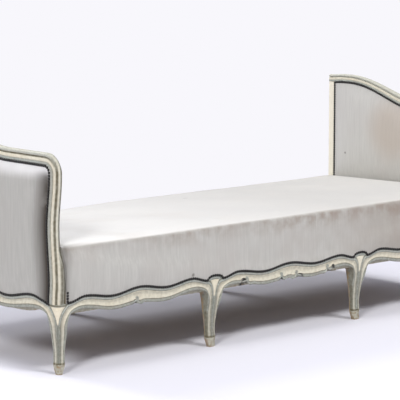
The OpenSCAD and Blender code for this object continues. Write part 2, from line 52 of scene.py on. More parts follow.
# Seat rails. Each is a plank of beech sawn to a serpentine outline, with a moulding cut into its face: a
# bead under the nails, a hollow painted cream, and a stouter bead along the lower edge. Near a leg the
# whole moulding turns downward, and it is tenoned into the leg there. Behind the face the plank is straight.
# Sizes are in millimetres from the left front corner; ORIGIN is where the frame's own origin lies.
BODY_L, BODY_D, LEAN = 2067, 815, 7
ORIGIN = (BODY_L / 2, (BODY_D - LEAN) / 2, 0)
SIDES = ("left", "right")
RAIL_T, RAIL_TOP, RABBET, PLANK_H = 36, 300, 6, 190
HEAD_H, CORNER_W, HALF_W = 232, 50, 34
SPRING_H, ARCH_TOP_H, ARCH_W = 186, 207.5, 56
MID_X = (680, BODY_L - 680)
FRONT_BAYS = [(CORNER_W, MID_X[0] - HALF_W), (MID_X[0] + HALF_W, MID_X[1] - HALF_W),
              (MID_X[1] + HALF_W, BODY_L - CORNER_W)]
END_BAY = (CORNER_W, BODY_D - CORNER_W)
# Places along the lower edge where a carved curl ends one stretch of bead, and the side its leaf is on
CURLS = [(340, 1), (834, 1), (998, 1), (1060, -1), (1214, -1), (BODY_L - 340, -1)]
LEAF_DROP, LEAF_REACH = 3, 9
# Deep cuts beside the curls: place along the rail, half width, and how far they cut into the lower edge
CUTS = [(326, 5, 3), (814, 12, 7), (994, 8, 3), (1084, 13, 2), (1219, 5, 3), (1247, 7, 6),
        (BODY_L - 326, 5, 3)]


def wave(shares, sizes, s):
    """A size that eases through the given sizes at the given shares of a run."""
    shares, sizes = np.array(shares, float), np.array(sizes, float)
    i = np.clip(np.searchsorted(shares, s) - 1, 0, len(shares) - 2)
    t = np.clip((s - shares[i]) / (shares[i + 1] - shares[i]), 0, 1)
    return sizes[i] + (sizes[i + 1] - sizes[i]) * (1 - np.cos(np.pi * t)) / 2


def bay_share(bay, x):
    """How far x is along a bay, from 0 at either end to 1 in the middle."""
    half = (bay[1] - bay[0]) / 2
    return 1 - np.abs(x - bay[0] - half) / half


def edge_at(bay, x):
    """Height of a rail's upper edge, along which the nails run."""
    dip = 227 if bay is END_BAY else 233
    return wave([0, 0.23, 0.61, 1], [HEAD_H, 246.5, dip, 248], bay_share(bay, x))


def low_at(bay, x):
    """Height of a rail's lower edge: an arch beside each leg, a slow wave, and under it leaves and cuts."""
    half, s = (bay[1] - bay[0]) / 2, bay_share(bay, x)
    arch = SPRING_H + (ARCH_TOP_H - SPRING_H) * np.sqrt(np.clip(1 - (1 - s * half / ARCH_W) ** 2, 0, 1))
    rest = wave([ARCH_W / half, 0.65, 1], [ARCH_TOP_H, 189, 197], s)
    low = np.where(s * half < ARCH_W, arch, rest)
    if bay is not END_BAY:
        for place, side in CURLS:
            low = low - LEAF_DROP * np.exp(-((x - place - LEAF_REACH * side) / LEAF_REACH) ** 2)
        for place, half_width, rise in CUTS:
            low = low + rise * np.exp(-((x - place) / half_width) ** 4)
    return low


def draw_out(name, rings, marks, angle=35):
    """A grid drawn out through rings of points in millimetres, its seam merged and its ends filled."""
    rings = np.asarray(rings, float)
    rows, columns = rings.shape[:2]
    rings = np.concatenate([rings, rings[:, :1]], axis=1)
    bpy.ops.object.select_all(action="DESELECT")
    bpy.ops.mesh.primitive_grid_add(x_subdivisions=columns, y_subdivisions=rows - 1, size=1)
    piece = bpy.context.object
    piece.name = piece.data.name = name
    piece.data.vertices.foreach_set("co", ((rings - ORIGIN) / 1000).ravel())
    for key, values in marks.items():
        values = np.broadcast_to(np.asarray(values, float), (rows, columns))
        values = np.concatenate([values, values[:, :1]], axis=1)
        piece.data.attributes.new(key, "FLOAT", "POINT").data.foreach_set("value", values.ravel())
    bpy.ops.object.mode_set(mode="EDIT")
    bpy.ops.mesh.select_all(action="SELECT")
    bpy.ops.mesh.remove_doubles(threshold=1e-5)
    bpy.ops.mesh.fill_holes(sides=0)
    bpy.ops.mesh.select_all(action="SELECT")
    bpy.ops.mesh.normals_make_consistent(inside=False)
    bpy.ops.object.mode_set(mode="OBJECT")
    bpy.ops.object.shade_smooth_by_angle(angle=math.radians(angle))
    return piece


# Across the moulding, each point's depth behind the face, how cream it is and how dark it is painted: wax in
# the grooves and dirt, with painted shade along the upper edge under the nails and over the upper part of the
# hollow. The number before them is its distance from the upper edge, its share of the hollow, or its
# distance from the lower edge.
BEAD_A = [(0, 3.0, 0, 0.7), (0.7, 1.6, 0, 0.3), (2.4, 0.5, 0, 0), (4.6, 0, 0, 0), (6.9, 0.5, 0, 0),
          (8.6, 1.7, 0, 0.2), (9.4, 2.9, 0.1, 0.6), (10.2, 3.1, 0.5, 0.5), (11.0, 2.2, 1, 0.25)]
HOLLOW = [(0.12, 2.6, 0.8, 0.38), (0.3, 3.2, 0.85, 0.29), (0.5, 3.3, 1, 0.2), (0.7, 2.8, 1, 0.15),
          (0.88, 2.0, 1, 0.12)]
BEAD_B = [(13.2, 1.5, 1, 0.2), (12.4, 2.6, 0.5, 0.75), (11.6, 2.6, 0.1, 0.85), (10.6, 1.4, 0, 0.42),
          (8.4, 0.4, 0, 0.31), (5.6, 0, 0, 0.27), (3, 0.5, 0, 0.33), (1, 1.7, 0, 0.55), (0, 3.2, 0, 0.7)]
RELIEF, CREAM, DIRT_AND_SHADE = np.array(BEAD_A + HOLLOW + BEAD_B).T[1:]


def across(width, upper=1, lower=1):
    """Shares of the moulding's width at which its points lie; the beads are scaled by upper and lower."""
    width, upper, lower = [np.atleast_1d(np.asarray(v, float))[:, None] for v in (width, upper, lower)]
    a = np.array([p[0] for p in BEAD_A]) * upper
    b = width - np.array([p[0] for p in BEAD_B]) * lower
    h = np.array([p[0] for p in HOLLOW])
    hollow = a[:, -1:] + (b[:, :1] - a[:, -1:]) * h
    return np.concatenate([a + 0 * width, hollow, b], axis=1) / width


def rail_rings(bay, high):
    """Rings of a rail as run, depth and height, slanted beside the legs where the moulding turns."""
    length = bay[1] - bay[0]
    turn = np.linspace(1, 0, 17)[:-1]
    middle = np.linspace(ARCH_W, length - ARCH_W, int(length / 3.5))
    upper = np.concatenate([ARCH_W * (1 - turn), middle, length - ARCH_W * (1 - turn[::-1])])
    lower_turn = ARCH_W * (1 - np.sin(turn * np.pi / 2))
    lower = np.concatenate([lower_turn, middle, length - lower_turn[::-1]])
    top = np.stack([bay[0] + upper, edge_at(bay, bay[0] + upper)], axis=1)
    low = np.stack([bay[0] + lower, low_at(bay, bay[0] + lower)], axis=1)
    t = across(np.linalg.norm(top - low, axis=1))[..., None]
    face = top[:, None] * (1 - t) + low[:, None] * t
    face = np.stack([face[..., 0], np.broadcast_to(RELIEF, face.shape[:2]), face[..., 1]], axis=2)
    back = [[(t[0], RABBET, high), (t[0], RABBET, t[1])] for t in top]
    near = np.minimum(low[:, 0] - bay[0], bay[1] - low[:, 0])
    plank = PLANK_H + (26 * np.exp(-(near / 85) ** 2) - 3 if bay is END_BAY else 5 + 0 * near)
    under = [[(l[0], 13, l[1] + 1.4), (l[0], 17, p), (l[0], RAIL_T - 2, p), (l[0], RAIL_T, p + 2),
              (t[0], RAIL_T, high)] for t, l, p in zip(top, low, plank)]
    return np.concatenate([np.array(back), face, np.array(under)], axis=1)


RAIL_MARKS = {"cream": np.concatenate([[0, 0], CREAM, [0.5] * 5]),
              "dirt_and_shade": np.concatenate([[1, 1], DIRT_AND_SHADE, [0.7, 0.5, 0.6, 0.5, 0.5]]),
              "bare": np.concatenate([[1, 0.3], 0 * CREAM, [0.2, 0.48, 0.9, 1, 1]])}
painted = []


def dress(piece, node):
    """Puts a piece in its CAD node's place, and among the pieces to be painted."""
    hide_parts(node)
    painted.append(piece)


def sided(points, side):
    """A copy of points on the left, or their mirror image on the right."""
    points = points.copy()
    if side == "right":
        points[..., 0] = BODY_L - points[..., 0]
    return points


for part, bay in zip(("left", "middle", "right"), FRONT_BAYS):
    rings = rail_rings(bay, RAIL_TOP)
    undercut_shadow = sum(np.exp(-((rings[..., 0] - place) / half_width) ** 4) for place, half_width, rise in CUTS)
    # Only the lower bead is painted near-black where it is cut, from its third point on: a painted shadow for
    # the shade inside the cut
    undercut_shadow[:, :2 + len(BEAD_A) + len(HOLLOW) + 2] = 0
    dress(draw_out("moulded_front_rail_" + part, rings, {**RAIL_MARKS, "undercut_shadow": undercut_shadow}), "front_rail_" + part)
for side in SIDES:
    rings = rail_rings(END_BAY, RAIL_TOP + 1.5)[..., [1, 0, 2]]
    dress(draw_out("moulded_%s_end_rail" % side, sided(rings, side), RAIL_MARKS), "%s_end_rail" % side)

# Carved curls. Where a stretch of the lower bead stops, it turns up into the hollow in a small round
# curl, and a leaf hangs below it on the other side of a cut. They are carved from the rail itself.
# The route of each: distance along the rail from its place, height above the lower edge, radius
CURL = [(-30, 5.4, 2.6), (-20, 6.4, 3.2), (-12, 9, 3.6), (-5, 13, 3.7), (-1, 18, 3.4), (-3.5, 22.4, 3.0),
        (-8, 23.2, 2.7), (-10.4, 20.2, 2.4), (-8.6, 17.4, 2.1), (-6.2, 18.6, 1.8)]
LEAF = [(-3.5, 12.5, 2.2), (-0.5, 7, 3.6), (4, 2.6, 4.2), (10, 0.6, 4.0), (17, 1.4, 3.2), (25, 4.4, 2.2),
        (33, 6.2, 1.2)]
for place, side in CURLS:
    bay = [b for b in FRONT_BAYS if b[0] < place < b[1]][0]
    low = float(low_at(bay, place))
    for part, route in (("curl", CURL), ("leaf", LEAF)):
        u = np.linspace(0, len(route) - 1, len(route) * 4 - 3)
        x, z, r = [np.interp(u, range(len(route)), [p[k] for p in route]) for k in range(3)]
        x, z = [np.convolve(np.pad(v, 2, mode="edge"), np.ones(5) / 5, mode="valid") for v in (x, z)]
        dx, dz = np.gradient(x), np.gradient(z)
        dx, dz = dx / np.hypot(dx, dz), dz / np.hypot(dx, dz)
        lift = low_at(bay, place + side * x) - low if part == "curl" else 0 * x
        ring = np.radians(np.arange(0, 360, 36))
        x, z, r, dx, dz, lift = [v[:, None] for v in (x, z, r, dx, dz, lift)]
        rings = np.stack([place + side * (x - dz * r * np.cos(ring)), 2.2 - 1.05 * r * np.sin(ring) + 0 * x,
                          low + z + lift * 0.5 + dx * r * np.cos(ring)], axis=2)
        dirt_and_shade = 0.12 + 0.5 * (np.sin(ring) < -0.2)
        painted.append(draw_out("carved_%s_at_%d" % (part, place), rings, {"dirt_and_shade": dirt_and_shade}, angle=70))

# Front legs. Each is cut from one block of beech. The mouldings of the two rails beside it turn down into
# it and run to the foot as two ridges with a hollow channel between them. Above the channel the head has
# a small cream cartouche, under a dome on a mid leg and under a plain collar on a corner leg.
ANKLE_IN, CORNER_IN, BLOCK_D, DOME_H, FOOT_H, FOOT_DEPTH, CHAMFER = 16, 20, 45, 14, 34, 1.6, 3
# Shares of the moulding's turn into the leg that lie beside the cartouche and below its point
HEAD_SHARE, NECK_SHARE = 0.66, 0.34
# At each height, shares of the leg's full half width, of the most its face is set in, and of its depth
LEG_Z = np.array([0, 0.034, 0.086, 0.129, 0.172, 0.259, 0.345, 0.431, 0.517, 0.603, 0.668, 0.733, 0.776,
                  0.81, 0.862, 0.9, 0.945, 1]) * HEAD_H
LEG_W = [0.32, 0.41, 0.5, 0.58, 0.57, 0.56, 0.59, 0.66, 0.74, 0.81, 0.85, 0.91, 0.96, 1, 1, 1, 1, 1]
LEG_IN = [0.96, 0.88, 0.8, 0.78, 0.9, 1, 0.96, 0.82, 0.66, 0.5, 0.4, 0.3, 0.24, 0.19, 0.1, 0.05, 0, 0]
LEG_BACK = [0.78, 0.8, 0.84, 0.87, 0.88, 0.9, 0.9, 0.91, 0.92, 0.94, 0.96, 0.99, 1, 1, 1, 1, 1, 1]


def smooth(low, high, v):
    """0 up to low and 1 from high on, eased between them; low may be the greater."""
    t = np.clip((np.asarray(v, float) - low) / (high - low), 0, 1)
    return t * t * (3 - 2 * t)


def dome(u):
    """Rise of a mid leg's head above its sides, at u from its middle."""
    return DOME_H * np.sqrt(np.clip(1 - (u / HALF_W) ** 2, 0, 1))


def leg_curve(values, z):
    """A size of the leg at height z, eased through its table so that the outline has no corners."""
    from_table = np.interp(z, LEG_Z, values)
    around = [np.interp(np.clip(z + d, 0, HEAD_H), LEG_Z, values) for d in (-7, -3.5, 3.5, 7)]
    return (from_table * 2 + sum(around)) / 6


def leg_rings(corner):
    """Rings of a leg from its head to its sole. The left half of a ring crosses one moulding from its
    outer to its inner edge, the middle crosses the cartouche or channel, and the right half mirrors it."""
    full = CORNER_W if corner else HALF_W
    apex_z, apex_v = (164, 4.0) if corner else (176, 4.2)
    psi = np.linspace(0, 1, 34)
    first = np.clip(psi / HEAD_SHARE, 0, 1)
    if corner:
        inner_v = apex_v + (full - apex_v) * (1 - first) ** 1.5
        inner_z = apex_z + (HEAD_H - apex_z) * (1 - first ** 1.25)
    else:
        inner_v = np.where(first < 1, apex_v + (full - apex_v) * (1 - np.sin(first * np.pi / 2)), apex_v)
        inner_z = apex_z + (HEAD_H - apex_z) * np.cos(first * np.pi / 2) ** 0.9
    base_z = 136
    inner_z = np.where(first < 1, inner_z, apex_z - (apex_z - base_z) * (psi - HEAD_SHARE) / NECK_SHARE)
    outer_z = SPRING_H - (SPRING_H - base_z) * psi
    down = np.concatenate([np.linspace(base_z, FOOT_H + 3, 32)[1:], [FOOT_H + 1.5, FOOT_H, FOOT_H - 1.5],
                           np.linspace(FOOT_H - 4, 0, 9)])
    inner_v = np.concatenate([inner_v, np.full(len(down), apex_v)])
    inner_z, outer_z = np.concatenate([inner_z, down]), np.concatenate([outer_z, down])
    outer_v = full * np.where(outer_z >= SPRING_H, 1, leg_curve(LEG_W, outer_z))
    outer_v[0] = full
    width = np.hypot(outer_v - inner_v, outer_z - inner_z)
    rows = len(width)
    down_share = smooth(0, 30, np.arange(rows))
    upper = (1 - down_share) + down_share * 0.3 * width / BEAD_A[-1][0]
    lower = (1 - down_share) + down_share * 0.34 * width / BEAD_B[0][0]
    t = across(width, upper, lower)
    v = inner_v[:, None] + (outer_v - inner_v)[:, None] * t
    z = inner_z[:, None] + (outer_z - inner_z)[:, None] * t
    fade = smooth(FOOT_H - 2, FOOT_H + 1, z)
    relief = RELIEF * (0.35 + 0.65 * smooth(0, 24, width))[:, None] * fade + (1 - fade) * FOOT_DEPTH
    cream = CREAM * (1 - 0.42 * down_share[:, None])
    dirt_and_shade = np.tile(DIRT_AND_SHADE, (rows, 1))
    dirt_and_shade[:, :len(BEAD_A)] = np.maximum(dirt_and_shade[:, :len(BEAD_A)], 0.5 * down_share[:, None])
    # Below the rails the flanks of the leg are painted darker, most on a mid leg: dirt on the paint, and
    # painted shade on the sides turned from the light.
    flank = smooth(SPRING_H - 10, SPRING_H - 70, z) * np.linspace(0, 1, len(RELIEF))
    flank = np.clip(flank * (1 if corner else 3.2) - (0.4 if corner else 2), 0, 1)
    dirt_and_shade = np.maximum(dirt_and_shade, 0.9 * flank)
    c = np.linspace(-1, 1, 17)[1:-1]
    mid_v = inner_v[:, None] * c
    rise = 0 * mid_v if corner else dome(mid_v)
    left = np.clip(1 - np.concatenate([psi, np.ones(len(down))])[:, None] / HEAD_SHARE, 0, 1) ** 1.3
    mid_z = inner_z[:, None] + rise * left
    under = HEAD_H + rise - mid_z
    arch = np.interp(under, [p[0] for p in BEAD_A], [p[1] for p in BEAD_A])
    pillow = 2.4 - 1.6 * (1 - c ** 2) ** 0.6
    panel = np.where(under < BEAD_A[-1][0], arch, pillow)
    channel = 3.0 + 2.6 * (1 - c ** 2)
    below = 1 - smooth(apex_z - 5, apex_z + 10, mid_z)
    foot = 1 - smooth(FOOT_H - 2, FOOT_H + 1, mid_z)
    mid_relief = (panel * (1 - below) + channel * below) * (1 - foot) + FOOT_DEPTH * foot
    rim = 7 if corner else 10
    mid_cream = smooth(rim, rim + 1.5, under) * (1 - smooth(0.45, 0.7, below)) * smooth(1.02, 0.86, np.abs(c))
    mid_dirt_and_shade = np.clip(1 - np.abs(under - rim + 0.4) / 1.6, 0, 1) * 0.7 + 0.3 * below * (1 - c ** 2)
    if corner:
        mid_dirt_and_shade = np.maximum(mid_dirt_and_shade, 0.9 * smooth(0.5, 2, under) * smooth(rim, rim - 1.5, under))
    v = np.concatenate([-v[:, ::-1], mid_v, v], axis=1)
    z, relief, cream, dirt_and_shade = [np.concatenate([half[:, ::-1], middle, half], axis=1) for half, middle in (
        (z, mid_z), (relief, mid_relief), (cream, mid_cream), (dirt_and_shade, mid_dirt_and_shade))]
    worn_foot = smooth(FOOT_H + 1, FOOT_H - 3, z)
    cream = cream * (1 - worn_foot) + 0.55 * worn_foot
    dirt_and_shade = dirt_and_shade * (1 - worn_foot) + 0.42 * worn_foot + 0.9 * np.exp(-((z - FOOT_H - 1) / 2.6) ** 2)
    bare = 0.46 * worn_foot + 0.3 * smooth(4, 0, z)
    side = np.where(z >= SPRING_H, full, full * leg_curve(LEG_W, z))
    joined = smooth(SPRING_H - 60, SPRING_H, z) * np.clip(np.abs(v) / side, 0, 1) ** 2
    setback = leg_curve(LEG_IN, z) * (CORNER_IN if corner else ANKLE_IN) * (1 - joined)
    if corner:
        r = side * (0.36 + 0.2 * smooth(190, 120, z))
        s = np.clip((v / r + 1) / 2, 0, 1)
        round_off = 2 * s * (1 - s) * r * 0.1
        x = np.where(np.abs(v) < r, round_off + s * s * r, np.maximum(v, 0))
        y = np.where(np.abs(v) < r, round_off + (1 - s) ** 2 * r, np.maximum(-v, 0))
        lean = np.arctan2(s, 1 - s)
        x, y = x + setback + relief * np.cos(lean), y + setback + relief * np.sin(lean)
        reach = leg_curve(LEG_IN, outer_z) * CORNER_IN + CORNER_W * leg_curve(LEG_W, outer_z)
        reach[0] = CORNER_W
        cap_x, cap_y, back_x = CORNER_W, CORNER_W, [CORNER_W] * 2
        back = [(reach, reach - CHAMFER), (reach - CHAMFER, reach)]
    else:
        bow = (2 + 6 * smooth(SPRING_H, 120, z)) * (1 - joined) * np.clip(np.abs(v) / side, 0, 1) ** 2.4
        bow = np.where(z >= SPRING_H, 0, bow) * smooth(0, 24, z)
        x, y = v, setback + bow + relief
        reach = BLOCK_D * leg_curve(LEG_BACK, outer_z)
        reach[0] = BLOCK_D
        w = outer_v - CHAMFER
        cap_x, cap_y, back_x = v[0], BLOCK_D, [full, full, -full, -full]
        back = [(outer_v, reach - CHAMFER), (w, reach), (-w, reach), (-outer_v, reach - CHAMFER)]
    back = np.stack([np.stack([a, b, outer_z], axis=1) for a, b in back], axis=1)
    cap = np.stack(np.broadcast_arrays(cap_x, cap_y, z[0]), axis=1)
    cap = np.concatenate([cap, [(a, cap_y, SPRING_H) for a in back_x]])
    rings = np.concatenate([cap[None], np.concatenate([np.stack([x, y, z], axis=2), back], axis=1)])
    marks = {"cream": (cream, 0), "dirt_and_shade": (dirt_and_shade, 0.3 if corner else 0.65), "bare": (bare, 0.8)}
    for key, (mark, behind) in marks.items():
        mark = np.pad(mark, [(0, 0), (0, len(back_x))], constant_values=behind)
        marks[key] = np.concatenate([mark[:1] * 0 + 1 if key == "bare" else mark[:1], mark])
    return rings, marks


rings, marks = leg_rings(False)
for side, middle in zip(SIDES, MID_X):
    leg = draw_out("carved_front_%s_mid_leg" % side, rings + (middle, 0, 0), marks)
    dress(leg, "front_%s_mid_leg" % side)
rings, marks = leg_rings(True)
for side in SIDES:
    leg = draw_out("carved_front_%s_corner_leg" % side, sided(rings, side), marks)
    dress(leg, "front_%s_corner_leg" % side)

# End frames. A stile rises from each front corner leg in a slow S-curve and turns through a rounded corner
# into the top rail, which climbs towards the rear. Both have the same moulding on both faces: a round
# outer edge, a deep valley, a cream band, and a bead beside the cloth. The stile has a broad foot.
FRAME_T, STILE_W, REAR_W, CORNER_R, END_LOW_H, END_HIGH_H, END_REAR_H = 24, 37, 28, 64, 715, 809, 804
CORNER_Y, CORNER_Z, SEAT_H, FLARE_FROM, STILE_FOOT = CORNER_R - LEAN, END_LOW_H - CORNER_R, 414, 340, 39
# Across one face from the cloth to the outer edge: depth from that edge, setback, how cream, and how dark it
# is painted, with painted shade in the deep valley by the outer edge and dirt elsewhere
STILE_FACE = [(37, 3, 0, 0.6), (36.8, 2, 0, 0.35), (35.5, 0.5, 0.1, 0.3), (33, 0, 0.1, 0.25),
              (29.5, 0.1, 0.1, 0.2), (26, 0.2, 0.15, 0.25), (23.4, 0.8, 0.2, 0.4), (22, 1.9, 0.4, 0.7),
              (21.2, 2.1, 0.7, 0.6), (20.4, 1.6, 0.95, 0.3), (19, 0.7, 1, 0.12), (17, 0.2, 1, 0.1),
              (14, 0, 1, 0.1), (11.4, 0.2, 1, 0.12), (9.4, 0.7, 1, 0.15), (8.2, 1.1, 0.9, 0.35),
              (7.3, 1.6, 0.7, 0.65), (6.6, 2.6, 0.3, 0.9), (6.4, 3.8, 0.1, 1), (5.6, 5, 0.1, 1),
              (4.2, 6, 0.1, 1), (2.6, 6.4, 0.2, 0.9), (1.2, 6.9, 0.5, 0.6), (0.2, 8.2, 0.8, 0.15)]
TOP_FACE = [(37, 3, 0, 0.6), (36.6, 1.6, 0, 0.3), (35.4, 0.4, 0, 0.1), (34, 0, 0, 0), (31.5, 0.1, 0, 0),
            (29.4, 0.6, 0, 0.1), (28.2, 1.6, 0.2, 0.35), (27.4, 1.9, 0.7, 0.35), (26.6, 1.4, 1, 0.1),
            (25.2, 0.6, 1, 0), (23.2, 0.1, 1, 0), (19.6, 0, 1, 0), (17.2, 0.6, 1, 0.1), (16.2, 1.7, 0.7, 0.6),
            (15, 3.1, 0.3, 1), (12.6, 3.4, 0.2, 1), (11.2, 2.2, 0.2, 0.7), (10.2, 1, 0.2, 0.1),
            (8.4, 0.3, 0.2, 0), (6, 0.3, 0.25, 0), (3.6, 1.2, 0.3, 0), (1.6, 3.2, 0.4, 0),
            (0.5, 5.8, 0.4, 0), (0.1, 8.8, 0.4, 0)]
# The stile's inner arris, squarer than its outer one: depth and setback of its last points
INNER_ARRIS = [(8.2, 0.5), (7.3, 0.2), (6, 0.1), (4.6, 0.3), (3.3, 0.9), (2.5, 2), (2.4, 4), (2.2, 6),
               (0.6, 8)]


def stile_front(z):
    """How far a stile's front lies behind the front of the frame at height z."""
    return wave([0, 0.17, 0.57, 1], [4.5, 0, 9, -LEAN], np.minimum(1, (z - HEAD_H) / (CORNER_Z - HEAD_H)))


def stile_flare(z):
    """How much thicker a stile is at height z, towards its broad foot."""
    t = np.clip((np.asarray(z, float) - FLARE_FROM) / (SEAT_H - FLARE_FROM), 0, 1)
    return (STILE_FOOT - FRAME_T) * (1 + np.cos(np.pi * t)) / 2


def end_top(y):
    """Height of an end's upper edge at y."""
    s = np.asarray(y, float) / BODY_D
    return wave([0, 0.31, 0.87, 0.9, 1], [END_LOW_H, END_LOW_H, END_HIGH_H, END_HIGH_H, END_REAR_H], s)


def end_width(y):
    """Depth of the top rail at y."""
    depths = [STILE_W, STILE_W, 36, REAR_W, REAR_W]
    return wave([0, 0.28, 0.5, 0.82, 1], depths, np.asarray(y, float) / BODY_D)


def frame_ring(blend, flare):
    """A section of the end frame as depth, place across the thickness, cream, dirt and painted shade; flare
    widens its foot.
    """
    face = np.array(STILE_FACE) * (1 - blend) + np.array(TOP_FACE) * blend
    share = flare / (STILE_FOOT - FRAME_T)
    pale = 0.8 - 0.6 * blend
    # Across the front. Where the stile's foot flares, the widened part of the front is painted dark as
    # painted shade.
    middle = np.array([(0, 11.5, pale, 0), (0, 11.7 + flare * 0.25, pale, 0.1 * share),
                       (0.1, 11.9 + flare * 0.5, pale * (1 - 0.6 * share), 0.6 * share),
                       (0.4 * share, 12.1 + flare * 0.75, pale * (1 - 0.8 * share), 0.85 * share),
                       (0, 12.3 + flare, pale * (1 - 0.8 * share), 0.85 * share)])
    inner = face.copy()
    inner[-len(INNER_ARRIS):, :2] = (inner[-len(INNER_ARRIS):, :2] - INNER_ARRIS) * blend + INNER_ARRIS
    inner = inner[::-1] * (1, -1, 1, 1) + (0, FRAME_T + flare, 0, 0)
    # On the stile, the inner half of the round front is painted grey and dark: painted shade on the side
    # turned from the light.
    inner[:9, 2] *= 0.2 + 0.8 * blend
    inner[1:9, 3] = np.maximum(inner[1:9, 3], 0.7 * (1 - blend))
    return np.concatenate([face, middle, inner])


stile_z = np.linspace(HEAD_H, CORNER_Z, 90)
stile_sections = np.array([frame_ring(0, float(stile_flare(z))) for z in stile_z])
stile_rings = np.stack([stile_sections[..., 1], stile_front(stile_z)[:, None] + stile_sections[..., 0],
                        stile_z[:, None] + 0 * stile_sections[..., 0]], axis=2)
turns = np.linspace(0, 90, 19)[:-1]
top_y = np.linspace(CORNER_Y, BODY_D, 110)
top_sections = np.array([frame_ring(float(smooth(0, 90, a)), 0) for a in turns]
                        + [frame_ring(1, 0)] * len(top_y))
top_rings = np.array(
    [[(p[1], CORNER_Y - (CORNER_R - p[0]) * math.cos(math.radians(a)),
       CORNER_Z + (CORNER_R - p[0]) * math.sin(math.radians(a))) for p in ring]
     for a, ring in zip(turns, top_sections)]
    + [[(p[1], y, end_top(y) - p[0] * end_width(y) / STILE_W) for p in top_sections[-1]] for y in top_y])
for side in SIDES:
    for kind, rings, sections in (("front_stile", stile_rings, stile_sections),
                                  ("top_rail", top_rings, top_sections)):
        # Less of the dirt and painted shade on the right top rail
        soil_and_shade = 0.35 if side == "right" and kind == "top_rail" else 1
        marks = {"cream": sections[..., 2], "dirt_and_shade": sections[..., 3] * soil_and_shade}
        node = "%s_%s" % (side, kind)
        dress(draw_out("moulded_" + node, sided(rings, side), marks), node)

# Rear woodwork. Nobody sees the rear of a daybed that stands against a wall, so its rails are plain
# planks, its stiles plain boards, and its legs straight tapered posts, all with lightly rounded edges.
REAR_IN, REAR_D = BODY_D - REAR_W, 50
# Levels of a rear leg: its height, the near and far side as distances from the rear face and, on a corner
# leg, from the end, and half the width of a mid leg
REAR_LEG = [(0, 7, 33, 13), (2, 6, 34, 14), (SPRING_H - 20, 1, 48, 32), (SPRING_H, 0, REAR_D, HALF_W),
            (HEAD_H, 0, REAR_D, HALF_W)]
# The rear stiles are painted a lighter cream all over: a painted highlight.
STILE_PAINT = {"cream": 1, "dirt_and_shade": 0.05, "bare": 0.05, "painted_highlight": 0.8}
LEG_PAINT = {"cream": 0.6, "dirt_and_shade": 0.3, "bare": 0.3}


def board(name, levels, marks, round_off=2.0, spin=(0, 1, 2)):
    """A board through levels of (z, x0, x1, y0, y1), with rounded long edges; spin swaps its axes."""
    rings = []
    for z, x0, x1, y0, y1 in levels:
        ring = []
        for cx, cy, start in ((x1, y1, 0), (x0, y1, 90), (x0, y0, 180), (x1, y0, 270)):
            sx, sy = (-1 if cx == x1 else 1), (-1 if cy == y1 else 1)
            for a in (0, 45, 90):
                turn = math.radians(start + a)
                ring.append((cx + sx * round_off + round_off * math.cos(turn),
                             cy + sy * round_off + round_off * math.sin(turn), z))
        rings.append(ring)
    return draw_out(name, np.array(rings)[..., list(spin)], marks, angle=50)


def span(side, near, far):
    """Two distances from the left end, or the same from the right end, as places along the body."""
    return (BODY_L - far, BODY_L - near) if side == "right" else (near, far)


high = float(end_top(BODY_D)) - REAR_W - 0.3
stile_levels = (HEAD_H, HEAD_H + 1.5, 420, high - 1, high)
for side, mid in zip(SIDES, MID_X):
    levels = [(z, *span(side, 0, FRAME_T), REAR_IN, BODY_D) for z in stile_levels]
    dress(board("plain_%s_rear_stile" % side, levels, STILE_PAINT), "%s_rear_stile" % side)
    for kind, widths, rear_x, front_x, front_y in (
            ("corner", [span(side, a, b) for z, a, b, half in REAR_LEG],
             span(side, 24.5, REAR_D), span(side, 39.4, 49.6), (RABBET, 49.6)),
            ("mid", [(mid - half, mid + half) for z, a, b, half in REAR_LEG],
             (mid - HALF_W, mid + HALF_W), (mid - 33.5, mid + 33.5), (RABBET, BLOCK_D))):
        leg = "%s_%s_leg" % (side, kind)
        levels = [(z, *x, BODY_D - b, BODY_D - a) for x, (z, a, b, half) in zip(widths, REAR_LEG)]
        dress(board("tapered_rear_" + leg, levels, LEG_PAINT), "rear_" + leg)
        for row, low, x, y in (("rear_", HEAD_H, rear_x, (BODY_D - REAR_D, BODY_D - RABBET)),
                               ("front_", HEAD_H - 2, front_x, front_y)):
            painted.append(board("post_of_" + row + leg, [(z, *x, *y) for z in (low, RAIL_TOP)],
                                 {"cream": 0, "dirt_and_shade": 0.4, "bare": 1}, 1))
    levels = [(y, RAIL_TOP - 50, RAIL_TOP, mid - 15, mid + 15) for y in
              (BLOCK_D, BLOCK_D + 1, BODY_D / 2, BODY_D - REAR_D - 1, BODY_D - REAR_D)]
    dress(board("%s_brace" % side, levels, {"cream": 0, "dirt_and_shade": 0.5, "bare": 1}, 2.5, (1, 2, 0)),
          "%s_cross_brace" % side)
for part, bay in zip(("left", "middle", "right"), FRONT_BAYS):
    inner = BODY_D - RAIL_T
    outline = [(BODY_D, HEAD_H), (BODY_D, SPRING_H + 2), (BODY_D - 2, SPRING_H), (inner + 2, SPRING_H),
               (inner, SPRING_H + 2), (inner, RAIL_TOP), (BODY_D - RABBET, RAIL_TOP),
               (BODY_D - RABBET, HEAD_H)]
    rings = [[(x, y, z) for y, z in outline] for x in np.linspace(*bay, 40)]
    marks = {"cream": [0.9, 0.9, 0.5, 0, 0, 0, 0, 0], "dirt_and_shade": 0.25, "bare": [0.1, 0.1, 0.5, 1, 1, 1, 1, 1]}
    dress(draw_out("plain_rear_rail_" + part, rings, marks), "rear_rail_" + part)

# Paint. Distemper over gesso on beech, brushed on by hand two centuries ago and rubbed since: cream in the
# hollows and grey-green on the beads, with brown wax in the grooves and painted shade darkening some of them,
# a near-black painted shadow in the deep cuts under the curls, and bare wood where hands and mops have worn
# it.


